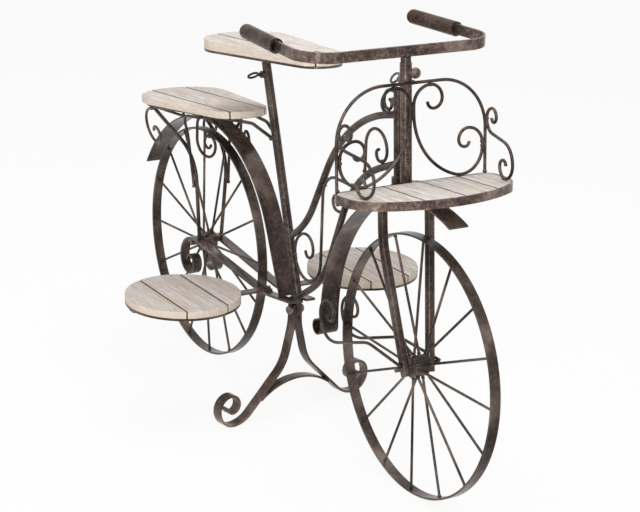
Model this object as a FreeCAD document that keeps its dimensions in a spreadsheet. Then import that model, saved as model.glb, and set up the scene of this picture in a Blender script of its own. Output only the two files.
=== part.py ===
import FreeCAD, Part
import math
import os
import Sketcher
from FreeCAD import Placement, Rotation, Vector

# A garden plant stand shaped like an old bicycle. X points forward, Y to the
# rider's left and Z up; the origin is on the floor midway between the wheels.

doc = FreeCAD.newDocument("bicycle_plant_stand")
dims = doc.addObject("Spreadsheet::Sheet", "dims")

# Driving sizes, in millimetres and degrees.
SIZES = {
    # fits shared by the whole stand
    "weld_gap": 0.1,
    "running_clearance": 0.06,
    "plank_gap": 2,
    "plank_thickness": 15,
    "scroll_rod_radius": 3,
    "scroll_eye": 11,
    # wheels
    "wheelbase": 820,
    "wheel_radius": 245,
    "rim_width": 20,
    "rim_thickness": 4,
    "spoke_count": 16,
    "spoke_radius": 2.5,
    "spoke_spread": 8,
    "hub_radius": 20,
    "hub_length": 30,
    "axle_radius": 5,
    "axle_overhang": 3,
    # frame tubes
    "tube_wall": 1.6,
    "bracket_x": -22,
    "bracket_height": 240,
    "seat_tube_lean_angle": 18.7,
    "seat_tube_length": 470,
    "seat_tube_tail": 12,
    "seat_tube_radius": 9,
    "frame_tube_radius": 6.8,
    "upper_tube_join": 131,
    "upper_tube_run": 178,
    "upper_tube_drop_angle": 13.5,
    "upper_tube_corner_reach": 63,
    "upper_tube_corner_rise": 42,
    "upper_tube_seat_join": 121,
    "upper_tube_front_bend": 310,
    "upper_tube_rear_bend": 200,
    "lower_tube_join": 43,
    "lower_tube_run": 159,
    "lower_tube_drop_angle": 22.4,
    "lower_tube_guard_gap": 25,
    "lower_tube_corner_rise": 63,
    "lower_tube_front_bend": 229,
    "lower_tube_rear_bend": 190,
    # scroll rods in the frame
    "long_scroll_rise": 279,
    "long_scroll_bend": 47,
    "small_scroll_rise": 217,
    "small_scroll_run": 22,
    "small_scroll_bend": 16.5,
    "middle_scroll_rise": 308,
    "middle_scroll_bend": 36,
    "gusset_scroll_rise": 39,
    "gusset_scroll_run": 25,
    "gusset_scroll_bend": 21,
    "gusset_scroll_curl": 15,
    "small_scroll_eye": 8,
    # chain stay straps
    "strap_width": 20,
    "strap_thickness": 5,
    "strap_overhang": 18,
    "strap_dip_height": 224,
    "strap_dip_bend": 300,
    "strap_curl_start": 46,
    "strap_curl_end": 12,
    "strap_hub_run": 20,
    "strap_tail_run": 5,
    "strap_hub_clearance": 1,
    "strap_bracket_drop": 2,
    "rivet_spread": 5,
    # steering head, fork and front mudguard
    "head_set_back": 88,
    "head_foot_height": 560,
    "head_rake_angle": 4.7,
    "head_tube_radius": 9,
    "head_tube_length": 178,
    "collar_height": 14,
    "collar_tongue_width": 11,
    "collar_low": 4,
    "collar_high": 148,
    "post_offset": 24,
    "post_radius": 11,
    "post_foot": 20,
    "post_top": 228,
    "post_bore_depth": 190,
    "fork_radius": 9,
    "fork_crown": 4,
    "fork_half_width": 50,
    "fork_knee_height": 470,
    "fork_crown_bend": 30,
    "fork_knee_bend": 300,
    "fork_hub_clearance": 3.5,
    "fork_end": 14,
    "guard_width": 40,
    "guard_thickness": 3,
    "front_guard_radius": 311,
    "front_guard_tip_angle": 70,
    "front_guard_sweep_angle": 115,
    "front_guard_eye": 14.5,
    "front_guard_eye_angle": 290,
    "guard_stay_shoulder": 115,
    "guard_stay_rise": 4,
    "guard_stay_reach": 231,
    "guard_stay_fall": 36.5,
    "guard_stay_bend": 90,
    "guard_stay_curl": 44,
    # front shelf and its scrolled gallery
    "shelf_height": 15.4,
    "shelf_back": 41,
    "shelf_front": 190,
    "shelf_half_width": 169,
    "shelf_back_bend": 24,
    "shelf_corner_bend": 70,
    "shelf_front_bend": 265,
    "shelf_plank_thickness": 12,
    "band_height": 16,
    "band_thickness": 3,
    "bearer_width": 24,
    "bearer_back_set": 33,
    "bearer_front_set": 92,
    "shelf_plank_width": 80.5,
    "shelf_seam_offset": 62,
    "shelf_lug_width": 24,
    "gallery_set_back": 45,
    "gallery_half_width": 157,
    "gallery_height": 179,
    "gallery_bend": 95,
    "gallery_clip_width": 14,
    "gallery_clip_height": 8,
    "gallery_scroll_top": 35,
    "gallery_scroll_eye": 13,
    "gallery_scroll_run": 13,
    "gallery_scroll_foot": 46,
    "gallery_scroll_rise": 7,
    "gallery_scroll_curl": 31,
    "gallery_scroll_end": 9,
    "wing_yaw_angle": 7,
    "wing_slope_angle": 80,
    "wing_top": 21,
    "wing_eye": 7,
    "wing_upper_bend": 25,
    "wing_run": 46,
    "wing_lower_bend": 38,
    "wing_foot": 28,
    "wing_end": 9,
    "knob_drop": 15,
    "knob_reach": 19,
    "knob_radius": 10,
    "knob_stalk_radius": 6,
    # handlebar
    "stem_radius": 9.5,
    "stem_length": 135,
    "bar_height": 20,
    "bar_thickness": 4,
    "bar_rise": 20,
    "bar_half_width": 203,
    "bar_bend": 62,
    "bar_reach": 252,
    "grip_radius": 14,
    "grip_length": 142,
    "grip_half_width": 181,
    "bar_end_set": 12,
    # thumbscrews and their welded bosses
    "screw_radius": 3,
    "boss_radius": 7,
    "boss_length": 7,
    "screw_neck": 7,
    "screw_ring_radius": 10,
    "screw_ring_turn_angle": 40,
    "screw_ring_wire": 2.2,
    "screw_tip_gap": 0.4,
    "bar_screw_height": 196,
    "seat_screw_drop": 24,
    # seat
    "seat_post_radius": 7.4,
    "seat_post_length": 170,
    "seat_lift": 18,
    "seat_tilt_angle": 5,
    "seat_rear_radius": 88,
    "seat_nose_radius": 46,
    "seat_rear_reach": 69,
    "seat_nose_reach": 207,
    "seat_plank_thickness": 20,
    "seat_strip_width": 14,
    "seat_strip_thickness": 4,
    "seat_cross_width": 40,
    "seat_seam_offset": 27,
    # rear board, its carrier and the rear mudguard
    "board_x": -343,
    "board_under_height": 546,
    "board_tilt_angle": 5.5,
    "board_tail_radius": 93,
    "board_tail_reach": 176,
    "board_front_radius": 62,
    "board_front_reach": 53,
    "board_middle_plank": 80,
    "hoop_radius": 3.5,
    "hoop_inset": 12,
    "hoop_knee": 150,
    "hoop_knee_bend": 40,
    "hoop_seat_join": 314,
    "hoop_half_gap": 0.5,
    "stay_radius": 4,
    "stay_knee_height": 440,
    "stay_bend": 85,
    "stay_set_forward": 14,
    "stay_spread": 12,
    "strut_rear_set": 110,
    "strut_front_set": 62,
    "strut_inset": 5,
    "tail_scroll_bend": 48,
    "tail_scroll_tilt_angle": 14,
    "arm_scroll_place": 157,
    "arm_scroll_shoulder": 16,
    "arm_scroll_run": 29,
    "arm_scroll_bend": 34,
    "arm_scroll_eye": 9,
    "brace_back": 60,
    "brace_spread": 6,
    "brace_drop": 7,
    "brace_knee_drop": 53,
    "brace_foot_drop": 65,
    "brace_shoulder_bend": 20,
    "brace_knee_bend": 80,
    "rear_guard_apex_x": -380,
    "rear_guard_apex_height": 520,
    "rear_guard_front_bend": 287,
    "rear_guard_front_slope_angle": 65,
    "rear_guard_tail_bend": 331,
    "rear_guard_tail_sweep_angle": 59,
    # round pedal shelves
    "pedal_shelf_x": -115,
    "pedal_shelf_reach": 208,
    "pedal_shelf_radius": 114.5,
    "pedal_ring_width": 12,
    "pedal_ring_thickness": 4,
    "pedal_bar_width": 20,
    "pedal_bar_thickness": 4,
    "pedal_middle_plank": 89,
    "rivet_radius": 3,
    "rivet_head_radius": 5.5,
    "rivet_head_height": 3.5,
    # kickstand
    "stand_strip_width": 20,
    "stand_strip_thickness": 5,
    "stand_lug_half_width": 5,
    "stand_lug_height": 34,
    "stand_lug_width": 24,
    "stand_top_height": 224,
    "stand_bolt_height": 212,
    "stand_bolt_radius": 4,
    "stand_bolt_head_radius": 9,
    "stand_bolt_head_height": 6,
    "stand_foot_reach": 156,
    "stand_set_back": 14,
    "stand_yaw_angle": 10,
    "stand_lug_drop": 4,
    "stand_straight": 26,
    "stand_splay_angle": 14,
    "stand_knee_angle": 46,
    "stand_high_bend": 120,
    "stand_low_bend": 90,
    "stand_sole_bend": 60,
    "stand_curl_start": 36,
    "stand_curl_end": 12,
    "stand_arch_height": 68,
    "stand_arch_end_height": 39,
    "stand_arch_reach": 88,
    "stand_arch_thickness": 4,
}
for row, (alias, value) in enumerate(SIZES.items(), start=1):
    dims.set("A%d" % row, alias)
    dims.set("B%d" % row, str(value))
    dims.setAlias("B%d" % row, alias)
doc.recompute()

nodes = []
X_AXIS, Y_AXIS, Z_AXIS = Vector(1, 0, 0), Vector(0, 1, 0), Vector(0, 0, 1)
ALONG_X = Rotation(Y_AXIS, 90)
ALONG_Y = Rotation(X_AXIS, -90)
SIDES = (("left", 1), ("right", -1))


def size(alias):
    return float(dims.get(alias))


def keep(obj, label):
    """Makes an object one of the stand's named pieces."""
    obj.Label = label
    nodes.append(obj)
    return obj


def bound(kind, name, **expressions):
    obj = doc.addObject(kind, name)
    for prop, expression in expressions.items():
        obj.setExpression(prop, expression)
    return obj


def cylinder(name, radius, height, placement):
    obj = bound("Part::Cylinder", name, Radius=radius, Height=height)
    obj.Placement = placement
    return obj


def box(name, length, width, height, placement):
    obj = bound("Part::Box", name, Length=length, Width=width, Height=height)
    obj.Placement = placement
    return obj


def fused(name, *shapes):
    obj = doc.addObject("Part::MultiFuse", name)
    obj.Shapes = list(shapes)
    return obj


def cut(name, base, *tools):
    obj = doc.addObject("Part::Cut", name)
    obj.Base = base
    obj.Tool = tools[0] if len(tools) == 1 else fused(name + "_tools", *tools)
    return obj


def common(name, base, tool):
    obj = doc.addObject("Part::Common", name)
    obj.Base = base
    obj.Tool = tool
    return obj


def group(name, members):
    obj = doc.addObject("Part::Compound", name)
    obj.Links = list(members)
    return obj


def round_body(name, outer, bore, length, placement):
    """A round bar or tube: circles padded along the body's own Z."""
    body = doc.addObject("PartDesign::Body", name)
    sketch = body.newObject("Sketcher::SketchObject", name + "_section")
    plane = next(f for f in body.Origin.OriginFeatures if f.Role == "XY_Plane")
    sketch.AttachmentSupport = [(plane, "")]
    sketch.MapMode = "FlatFace"
    circles = [(outer, 20.0), (bore, 10.0)] if bore else [(outer, 20.0)]
    for expression, start in circles:
        index = sketch.addGeometry(Part.Circle(Vector(), Z_AXIS, start), False)
        sketch.addConstraint(Sketcher.Constraint("Coincident", index, 3, -1, 1))
        radius = sketch.addConstraint(Sketcher.Constraint("Radius", index, start))
        sketch.setExpression("Constraints[%d]" % radius, expression)
    pad = body.newObject("PartDesign::Pad", name + "_pad")
    pad.Profile = sketch
    pad.setExpression("Length", length)
    body.Placement = placement
    return body


class Sheet:
    """A flat working plane: turns two plan coordinates into a point in space."""

    def __init__(self, origin, across, up):
        self.origin, self.across, self.up = origin, across, up
        self.normal = across.cross(up)

    def point(self, a, b):
        return self.origin + self.across * a + self.up * b


def sheet_in(frame, across, up, offset=Vector()):
    turn = frame.Rotation
    return Sheet(frame.multVec(offset), turn.multVec(across), turn.multVec(up))


class Bend:
    """A bar set out flat as straight runs and tangent bends; left turns are positive."""

    def __init__(self, a, b, heading):
        self.a, self.b, self.heading = a, b, heading
        self.spans = []

    def run(self, length):
        angle = math.radians(self.heading)
        self.spans.append((self.a, self.b, self.heading, length, None))
        self.a += length * math.cos(angle)
        self.b += length * math.sin(angle)
        return self

    def turn(self, radius, degrees):
        self.spans.append((self.a, self.b, self.heading, radius, degrees))
        side = math.copysign(1, degrees)
        before = math.radians(self.heading + 90 * side)
        self.heading += degrees
        after = math.radians(self.heading + 90 * side)
        self.a += radius * (math.cos(before) - math.cos(after))
        self.b += radius * (math.sin(before) - math.sin(after))
        return self

    def curl(self, first, last, quarters, side=1):
        """A scroll of quarter turns whose radius shrinks or grows evenly."""
        ratio = (last / first) ** (1.0 / (quarters - 1))
        for quarter in range(quarters):
            self.turn(first * ratio ** quarter, 90 * side)
        return self

    def edges(self, sheet, offset=0.0):
        """The edges of the bar's centre line, or of a line beside it on its left."""
        out = []
        for a, b, heading, reach, degrees in self.spans:
            left = math.radians(heading + 90)
            a += offset * math.cos(left)
            b += offset * math.sin(left)
            if degrees is None:
                angle = math.radians(heading)
                end = sheet.point(a + reach * math.cos(angle), b + reach * math.sin(angle))
                out.append(Part.LineSegment(sheet.point(a, b), end).toShape())
                continue
            side = math.copysign(1, degrees)
            radius = reach - offset * side
            middle_a = a + radius * side * math.cos(left)
            middle_b = b + radius * side * math.sin(left)
            stops = []
            for share in (0.0, 0.5, 1.0):
                angle = left + math.radians(degrees * share)
                stops.append(sheet.point(middle_a - radius * side * math.cos(angle),
                                         middle_b - radius * side * math.sin(angle)))
            out.append(Part.Arc(*stops).toShape())
        return out


def bend_through(corners, radii):
    """A flat bar through corner points, each inner corner rounded by a bend."""
    headings = []
    lengths = []
    for (a, b), (c, d) in zip(corners, corners[1:]):
        headings.append(math.degrees(math.atan2(d - b, c - a)))
        lengths.append(math.hypot(c - a, d - b))
    bend = Bend(corners[0][0], corners[0][1], headings[0])
    used = 0.0
    for index, radius in enumerate(radii):
        turn = (headings[index + 1] - headings[index] + 180) % 360 - 180
        tangent = radius * math.tan(math.radians(abs(turn)) / 2)
        bend.run(lengths[index] - used - tangent)
        bend.turn(radius, turn)
        used = tangent
    return bend.run(lengths[-1] - used)


def bent_edges(corners, radii):
    """Edges in space through corner points, each inner corner rounded by an arc."""
    out = []
    start = corners[0]
    for before, corner, after, radius in zip(corners, corners[1:], corners[2:], radii):
        to_before = (before - corner).normalize()
        to_after = (after - corner).normalize()
        half = to_before.getAngle(to_after) / 2
        tangent = radius / math.tan(half)
        bisector = (to_before + to_after).normalize()
        arc_start = corner + to_before * tangent
        arc_end = corner + to_after * tangent
        arc_middle = corner + bisector * (radius / math.sin(half) - radius)
        out.append(Part.LineSegment(start, arc_start).toShape())
        out.append(Part.Arc(arc_start, arc_middle, arc_end).toShape())
        start = arc_end
    out.append(Part.LineSegment(start, corners[-1]).toShape())
    return out


def rod(name, edges, radius):
    """A round rod or tube core swept along edges; the radius is an expression."""
    path = doc.addObject("Part::Feature", name + "_path")
    path.Shape = Part.Wire(edges)
    section = bound("Part::Circle", name + "_section", Radius=radius)
    first = edges[0]
    tangent = first.tangentAt(first.FirstParameter)
    section.Placement = Placement(first.valueAt(first.FirstParameter), Rotation(Z_AXIS, tangent))
    sweep = doc.addObject("Part::Sweep", name)
    sweep.Sections = [section]
    sweep.Spine = (path, ["Edge%d" % number for number in range(1, len(edges) + 1)])
    sweep.Solid = True
    return sweep


def extruded(name, face, direction, length, symmetric=False):
    outline = doc.addObject("Part::Feature", name + "_outline")
    outline.Shape = face
    solid = bound("Part::Extrusion", name, LengthFwd=length)
    solid.Base = outline
    solid.DirMode = "Custom"
    solid.Dir = direction
    solid.Symmetric = symmetric
    solid.Solid = True
    return solid


def strip(name, bend, sheet, thickness, width, shift=0.0):
    """A flat bar bent edgewise to the sheet; the width is an expression."""
    left = bend.edges(sheet, shift + thickness / 2)
    right = bend.edges(sheet, shift - thickness / 2)
    caps = []
    for edge_pair, use_last in (((left[0], right[0]), False), ((left[-1], right[-1]), True)):
        ends = [edge.valueAt(edge.LastParameter if use_last else edge.FirstParameter)
                for edge in edge_pair]
        caps.append(Part.LineSegment(*ends).toShape())
    outline = Part.Wire(Part.__sortEdges__(left + right + caps))
    return extruded(name, Part.Face(outline), sheet.normal, width, symmetric=True)


def pear_face(sheet, rear_x, rear_radius, front_x, front_radius):
    """Two circles on one line joined by their outer tangents."""
    lean = math.asin((rear_radius - front_radius) / (front_x - rear_x))
    ends = {}
    for key, x, radius in (("rear", rear_x, rear_radius), ("front", front_x, front_radius)):
        for side in (1, -1):
            ends[key, side] = sheet.point(x + radius * math.sin(lean), side * radius * math.cos(lean))
    tail = sheet.point(rear_x - rear_radius, 0)
    nose = sheet.point(front_x + front_radius, 0)
    edges = [
        Part.Arc(ends["rear", 1], tail, ends["rear", -1]).toShape(),
        Part.LineSegment(ends["rear", -1], ends["front", -1]).toShape(),
        Part.Arc(ends["front", -1], nose, ends["front", 1]).toShape(),
        Part.LineSegment(ends["front", 1], ends["rear", 1]).toShape(),
    ]
    return Part.Face(Part.Wire(edges))


def shelf_face(sheet, inset):
    """The front shelf: straight back, sides, four round corners and a bowed front."""
    back = size("shelf_back") + inset
    front = size("shelf_front") - inset
    half = size("shelf_half_width") - inset
    corner = size("shelf_corner_bend") - inset
    bow = size("shelf_front_bend") - inset
    corner_x = front - bow + math.sqrt((bow - corner) ** 2 - (half - corner) ** 2)
    along = math.atan2(half - corner, corner_x - front + bow)
    join_x = front - bow + bow * math.cos(along)
    join_y = bow * math.sin(along)
    middle = (along + math.pi / 2) / 2
    round_x = corner_x + corner * math.cos(middle)
    round_y = half - corner + corner * math.sin(middle)
    back_bend = size("shelf_back_bend") - inset
    side_x = back + back_bend
    side_y = half - back_bend
    slant = back_bend * math.sqrt(0.5)
    p = sheet.point
    edges = [
        Part.Arc(p(back, side_y), p(side_x - slant, side_y + slant), p(side_x, half)).toShape(),
        Part.LineSegment(p(side_x, half), p(corner_x, half)).toShape(),
        Part.Arc(p(corner_x, half), p(round_x, round_y), p(join_x, join_y)).toShape(),
        Part.Arc(p(join_x, join_y), p(front, 0), p(join_x, -join_y)).toShape(),
        Part.Arc(p(join_x, -join_y), p(round_x, -round_y), p(corner_x, -half)).toShape(),
        Part.LineSegment(p(corner_x, -half), p(side_x, -half)).toShape(),
        Part.Arc(p(side_x, -half), p(side_x - slant, -side_y - slant), p(back, -side_y)).toShape(),
        Part.LineSegment(p(back, -side_y), p(back, side_y)).toShape(),
    ]
    return Part.Face(Part.Wire(edges))


def planks(prefix, labels, blank, frame, seams, reach, thickness):
    """Cuts a board into planks along X; seams are expressions for their Y places."""
    out = []
    bounds = ["-%.3f" % reach] + seams + ["%.3f" % reach]
    for label, low, high in zip(labels, bounds, bounds[1:]):
        first = low == bounds[0]
        last = high == bounds[-1]
        start = "(%s)" % low if first else "(%s) + dims.plank_gap / 2" % low
        stop = "(%s)" % high if last else "(%s) - dims.plank_gap / 2" % high
        cutter = bound("Part::Box", prefix + label + "_cutter", Length="%.3f" % (2 * reach),
                       Width="(%s) - (%s)" % (stop, start), Height=thickness)
        low_y = float(doc.dims.evalExpression(start))
        cutter.Placement = frame.multiply(Placement(Vector(-reach, low_y, 0), Rotation()))
        out.append(common(prefix + label, blank, cutter))
    return out


def on_side(points, side):
    """The same points on the stand's other side when side is -1."""
    return [Vector(point.x, side * point.y, point.z) for point in points]


def settled(low, high, clear):
    """Halves a range until it closes on the place where a test begins to hold."""
    for _ in range(40):
        middle = (low + high) / 2
        if clear(middle):
            high = middle
        else:
            low = middle
    return high


GAP = size("weld_gap")
ROD = size("scroll_rod_radius")
REAR_HUB = Vector(-size("wheelbase") / 2, 0, size("wheel_radius"))
FRONT_HUB = Vector(size("wheelbase") / 2, 0, size("wheel_radius"))
MID_PLANE = Sheet(Vector(), X_AXIS, Z_AXIS)


def side_plane(y):
    return Sheet(Vector(0, y, 0), X_AXIS, Z_AXIS)


# Seat tube: leans back from the bottom bracket, bored for the seat post, with
# a welded boss for the clamping thumbscrew on its right side.
bracket = Vector(size("bracket_x"), 0, size("bracket_height"))
lean_turn = Rotation(Y_AXIS, -size("seat_tube_lean_angle"))
seat_axis = lean_turn.multVec(Z_AXIS)
seat_foot = Placement(bracket - seat_axis * size("seat_tube_tail"), lean_turn)
tube_total = "dims.seat_tube_length + dims.seat_tube_tail"
seat_screw_spot = bracket + seat_axis * (size("seat_tube_length") - size("seat_screw_drop"))
toward_right = Rotation(X_AXIS, 90)
seat_envelope = cylinder("seat_tube_envelope", "dims.seat_tube_radius", tube_total, seat_foot)
seat_boss = cylinder("seat_boss", "dims.boss_radius", "dims.seat_tube_radius + dims.boss_length",
                     Placement(seat_screw_spot, toward_right))
seat_bore = cylinder("seat_tube_bore", "dims.seat_post_radius + dims.running_clearance",
                     tube_total, seat_foot)
seat_screw_hole = cylinder("seat_screw_hole", "dims.screw_radius + dims.running_clearance",
                           "dims.seat_tube_radius + dims.boss_length + 1",
                           Placement(seat_screw_spot, toward_right))
seat_tube = keep(cut("seat_tube", fused("seat_tube_blank", seat_envelope, seat_boss),
                     seat_bore, seat_screw_hole), "seat_tube")

# Head tube: stands just behind the front post, which swings round it.
head = Placement(Vector(FRONT_HUB.x - size("head_set_back"), 0, size("head_foot_height")),
                 Rotation(Y_AXIS, -size("head_rake_angle")))
head_tube = keep(round_body("head_tube", "dims.head_tube_radius",
                            "dims.head_tube_radius - dims.tube_wall",
                            "dims.head_tube_length", head), "head_tube")
head_envelope = cylinder("head_tube_envelope", "dims.head_tube_radius", "dims.head_tube_length", head)


def frame_tube(name, corners, radii):
    """A bent frame tube coped on to the head tube and the seat tube."""
    edges = bent_edges(corners, radii)
    skin = rod(name + "_skin", edges, "dims.frame_tube_radius")
    core = rod(name + "_core", edges, "dims.frame_tube_radius - dims.tube_wall")
    return keep(cut(name, skin, core, head_envelope, seat_envelope), name)


def tube_start(join, drop, run):
    """A frame tube's start on the head axis and its first corner."""
    start = head.multVec(Vector(0, 0, size(join)))
    angle = math.radians(size(drop))
    return [start, start + Vector(-math.cos(angle), 0, -math.sin(angle)) * size(run)]


upper_corners = tube_start("upper_tube_join", "upper_tube_drop_angle", "upper_tube_run")
upper_end = bracket + seat_axis * size("upper_tube_seat_join")
upper_corners.append(upper_end + Vector(size("upper_tube_corner_reach"), 0, size("upper_tube_corner_rise")))
upper_corners.append(upper_end)
upper_bends = [size("upper_tube_front_bend"), size("upper_tube_rear_bend")]
frame_tube("upper_frame_tube", upper_corners, upper_bends)
lower_corners = tube_start("lower_tube_join", "lower_tube_drop_angle", "lower_tube_run")
lower_corners.append(Vector(FRONT_HUB.x - size("front_guard_radius") - size("lower_tube_guard_gap"), 0,
                            bracket.z + size("lower_tube_corner_rise")))
lower_corners.append(bracket)
lower_bends = [size("lower_tube_front_bend"), size("lower_tube_rear_bend")]
frame_tube("lower_frame_tube", lower_corners, lower_bends)

# Scroll rods that fill the frame, all in its middle plane. Each is bent so that
# it just touches the tube it is welded to.
rod_reach = ROD + GAP
tube_reach = size("frame_tube_radius") + rod_reach
upper_line = Part.Wire(bent_edges(upper_corners, upper_bends))
lower_line = Part.Wire(bent_edges(lower_corners, lower_bends))
lower_envelope = rod("lower_tube_envelope", lower_line.Edges, "dims.frame_tube_radius")


def tube_spot(rise):
    """The lower tube's centre at a height above the bottom bracket."""
    level = Part.LineSegment(bracket + Vector(0, 0, size(rise)),
                             Vector(head.Base.x, 0, bracket.z + size(rise))).toShape()
    return lower_line.distToShape(level)[1][0][0]


def scroll_rod(name, bend):
    return rod(name, bend.edges(MID_PLANE), "dims.scroll_rod_radius")


top_spot = tube_spot("long_scroll_rise")
top_bend = size("long_scroll_bend")


def long_bend_clear(x):
    middle = Part.Vertex(Vector(x, 0, top_spot.z - top_bend))
    return upper_line.distToShape(middle)[0] > top_bend + tube_reach


hang_x = settled(upper_end.x, top_spot.x, long_bend_clear) - top_bend


def loop_middle(width):
    """The middle of the long scroll's lower loop, which rests on the lower tube."""
    x = hang_x - width

    def clear(z):
        return lower_line.distToShape(Part.Vertex(Vector(x, 0, z)))[0] > width + tube_reach

    return Vector(x, 0, settled(bracket.z, top_spot.z, clear))


def loop_clear(narrowness):
    off_axis = (loop_middle(-narrowness) - bracket).cross(seat_axis).Length
    return off_axis > size("seat_tube_radius") + rod_reach - narrowness


loop_width = -settled(bracket.x - hang_x, -size("scroll_eye"), loop_clear)
loop_height = loop_middle(loop_width).z


def long_scroll(curl_width):
    """From the lower tube over to the upper one, down, and round in a loop and a curl."""
    bend = Bend(top_spot.x, top_spot.z, 180).run(top_spot.x - hang_x - top_bend).turn(top_bend, 90)
    bend.run(top_spot.z - top_bend - loop_height).turn(loop_width, -90).turn(loop_width, -90)
    return bend.curl(curl_width, size("scroll_eye"), 4, -1)


def curl_clear(narrowness):
    curl = Part.Wire(long_scroll(-narrowness).edges(MID_PLANE)[5:])
    return curl.distToShape(upper_line)[0] > tube_reach


long_bend = long_scroll(-settled(-loop_width, -size("scroll_eye"), curl_clear))
keep(cut("seat_tube_scroll", scroll_rod("long_scroll_rod", long_bend), lower_envelope), "seat_tube_scroll")

small_spot = tube_spot("small_scroll_rise")
small_scroll = Bend(small_spot.x, small_spot.z, 180).run(size("small_scroll_run"))
small_scroll.curl(size("small_scroll_bend"), size("small_scroll_eye"), 4, -1)
middle_spot = tube_spot("middle_scroll_rise")


def middle_scroll(length):
    bend = Bend(middle_spot.x, middle_spot.z, 90).run(length).turn(size("middle_scroll_bend"), -90)
    return bend.curl(size("middle_scroll_bend"), size("small_scroll_eye"), 4, -1)


def middle_clear(length):
    curl = Part.Wire(middle_scroll(length).edges(MID_PLANE)[2:])
    return curl.distToShape(lower_line)[0] > tube_reach


middle_rod = scroll_rod("middle_scroll_rod",
                        middle_scroll(settled(0.0, size("middle_scroll_rise"), middle_clear)))
gusset_spot = head.multVec(Vector(0, 0, size("upper_tube_join") + size("gusset_scroll_rise")))


def gusset_scroll(rise):
    """Out from the head tube, down and round; it drops further as the rise gets less."""
    drop = size("gusset_scroll_rise") - rise
    bend = Bend(gusset_spot.x, gusset_spot.z, 180).run(size("gusset_scroll_run"))
    bend.turn(size("gusset_scroll_bend"), 90).run(drop)
    return bend.curl(size("gusset_scroll_curl"), size("small_scroll_eye"), 3)


def gusset_clear(rise):
    curl = Part.Wire(gusset_scroll(rise).edges(MID_PLANE)[1:])
    return curl.distToShape(upper_line)[0] > tube_reach


gusset_rod = scroll_rod("gusset_scroll_rod",
                        gusset_scroll(settled(0.0, size("gusset_scroll_rise") - GAP, gusset_clear)))
keep(group("frame_scrolls", [cut("small_scroll", scroll_rod("small_scroll_rod", small_scroll), lower_envelope),
                             cut("middle_scroll", middle_rod, lower_envelope),
                             cut("gusset_scroll", gusset_rod, head_envelope)]), "frame_scrolls")

# Chain stays: flat straps over the rear axle, each ending in a scroll.
strap_thickness = size("strap_thickness")
strap_front = (bracket.x + size("strap_overhang"), bracket.z - size("strap_bracket_drop"))
strap_dip = (size("pedal_shelf_x"), size("strap_dip_height"))
strap_level = REAR_HUB.z + size("axle_radius") + strap_thickness / 2 + GAP
strap_rise = (REAR_HUB.x + size("strap_hub_run"), strap_level)
strap_back = (REAR_HUB.x - size("strap_tail_run"), strap_level)
strap_bend = bend_through([strap_front, strap_dip, strap_rise, strap_back],
                          [size("strap_dip_bend"), size("strap_dip_bend") / 2])
strap_bend.curl(size("strap_curl_start"), size("strap_curl_end"), 5)
strap_hub_y = size("hub_length") / 2 + size("strap_hub_clearance") + size("strap_width") / 2
strap_bracket_y = size("seat_tube_radius") + GAP + size("strap_width") / 2
strap_yaw = math.atan2(strap_bracket_y - strap_hub_y, bracket.x - REAR_HUB.x)


def strap_y(x):
    return strap_hub_y + (x - REAR_HUB.x) * math.tan(strap_yaw)


rivet_spots = [strap_y(size("pedal_shelf_x")) + size("rivet_spread") * step for step in (-1, 1)]
straps = {}
for word, side in SIDES:
    across = Vector(math.cos(strap_yaw), side * math.sin(strap_yaw), 0)
    plane = Sheet(Vector(0, side * strap_y(0), 0), across, Z_AXIS)
    blank = strip("chain_stay_blank_" + word, strap_bend, plane, strap_thickness, "dims.strap_width")
    holes = []
    for number, y in enumerate(rivet_spots):
        spot = Vector(size("pedal_shelf_x"), side * y, size("strap_dip_height") - strap_thickness)
        holes.append(cylinder("strap_hole_%s_%d" % (word, number), "dims.rivet_radius + dims.weld_gap",
                              "dims.strap_thickness * 2", Placement(spot, Rotation())))
    straps[word] = keep(cut("chain_stay_" + word, blank, *holes), "chain_stay_" + word)


def axle(name, hub, half_length):
    start = Vector(hub.x, -half_length, hub.z)
    return keep(round_body(name, "dims.axle_radius", None, "%.6f" % (2 * half_length),
                           Placement(start, ALONG_Y)), name)


fork_end_y = size("hub_length") / 2 + size("fork_hub_clearance") + size("fork_radius")
fork_splay = (size("fork_half_width") - fork_end_y) / (size("fork_knee_height") - FRONT_HUB.z)
stay_hub_y = fork_end_y + (size("axle_radius") + 2 * ROD) * fork_splay
stay_hub_y += size("fork_radius") * math.hypot(1, fork_splay) + rod_reach
rear_axle = axle("rear_axle", REAR_HUB, strap_hub_y + size("strap_width") / 2 + size("axle_overhang"))
front_axle = axle("front_axle", FRONT_HUB, stay_hub_y + ROD + size("axle_overhang"))


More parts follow.
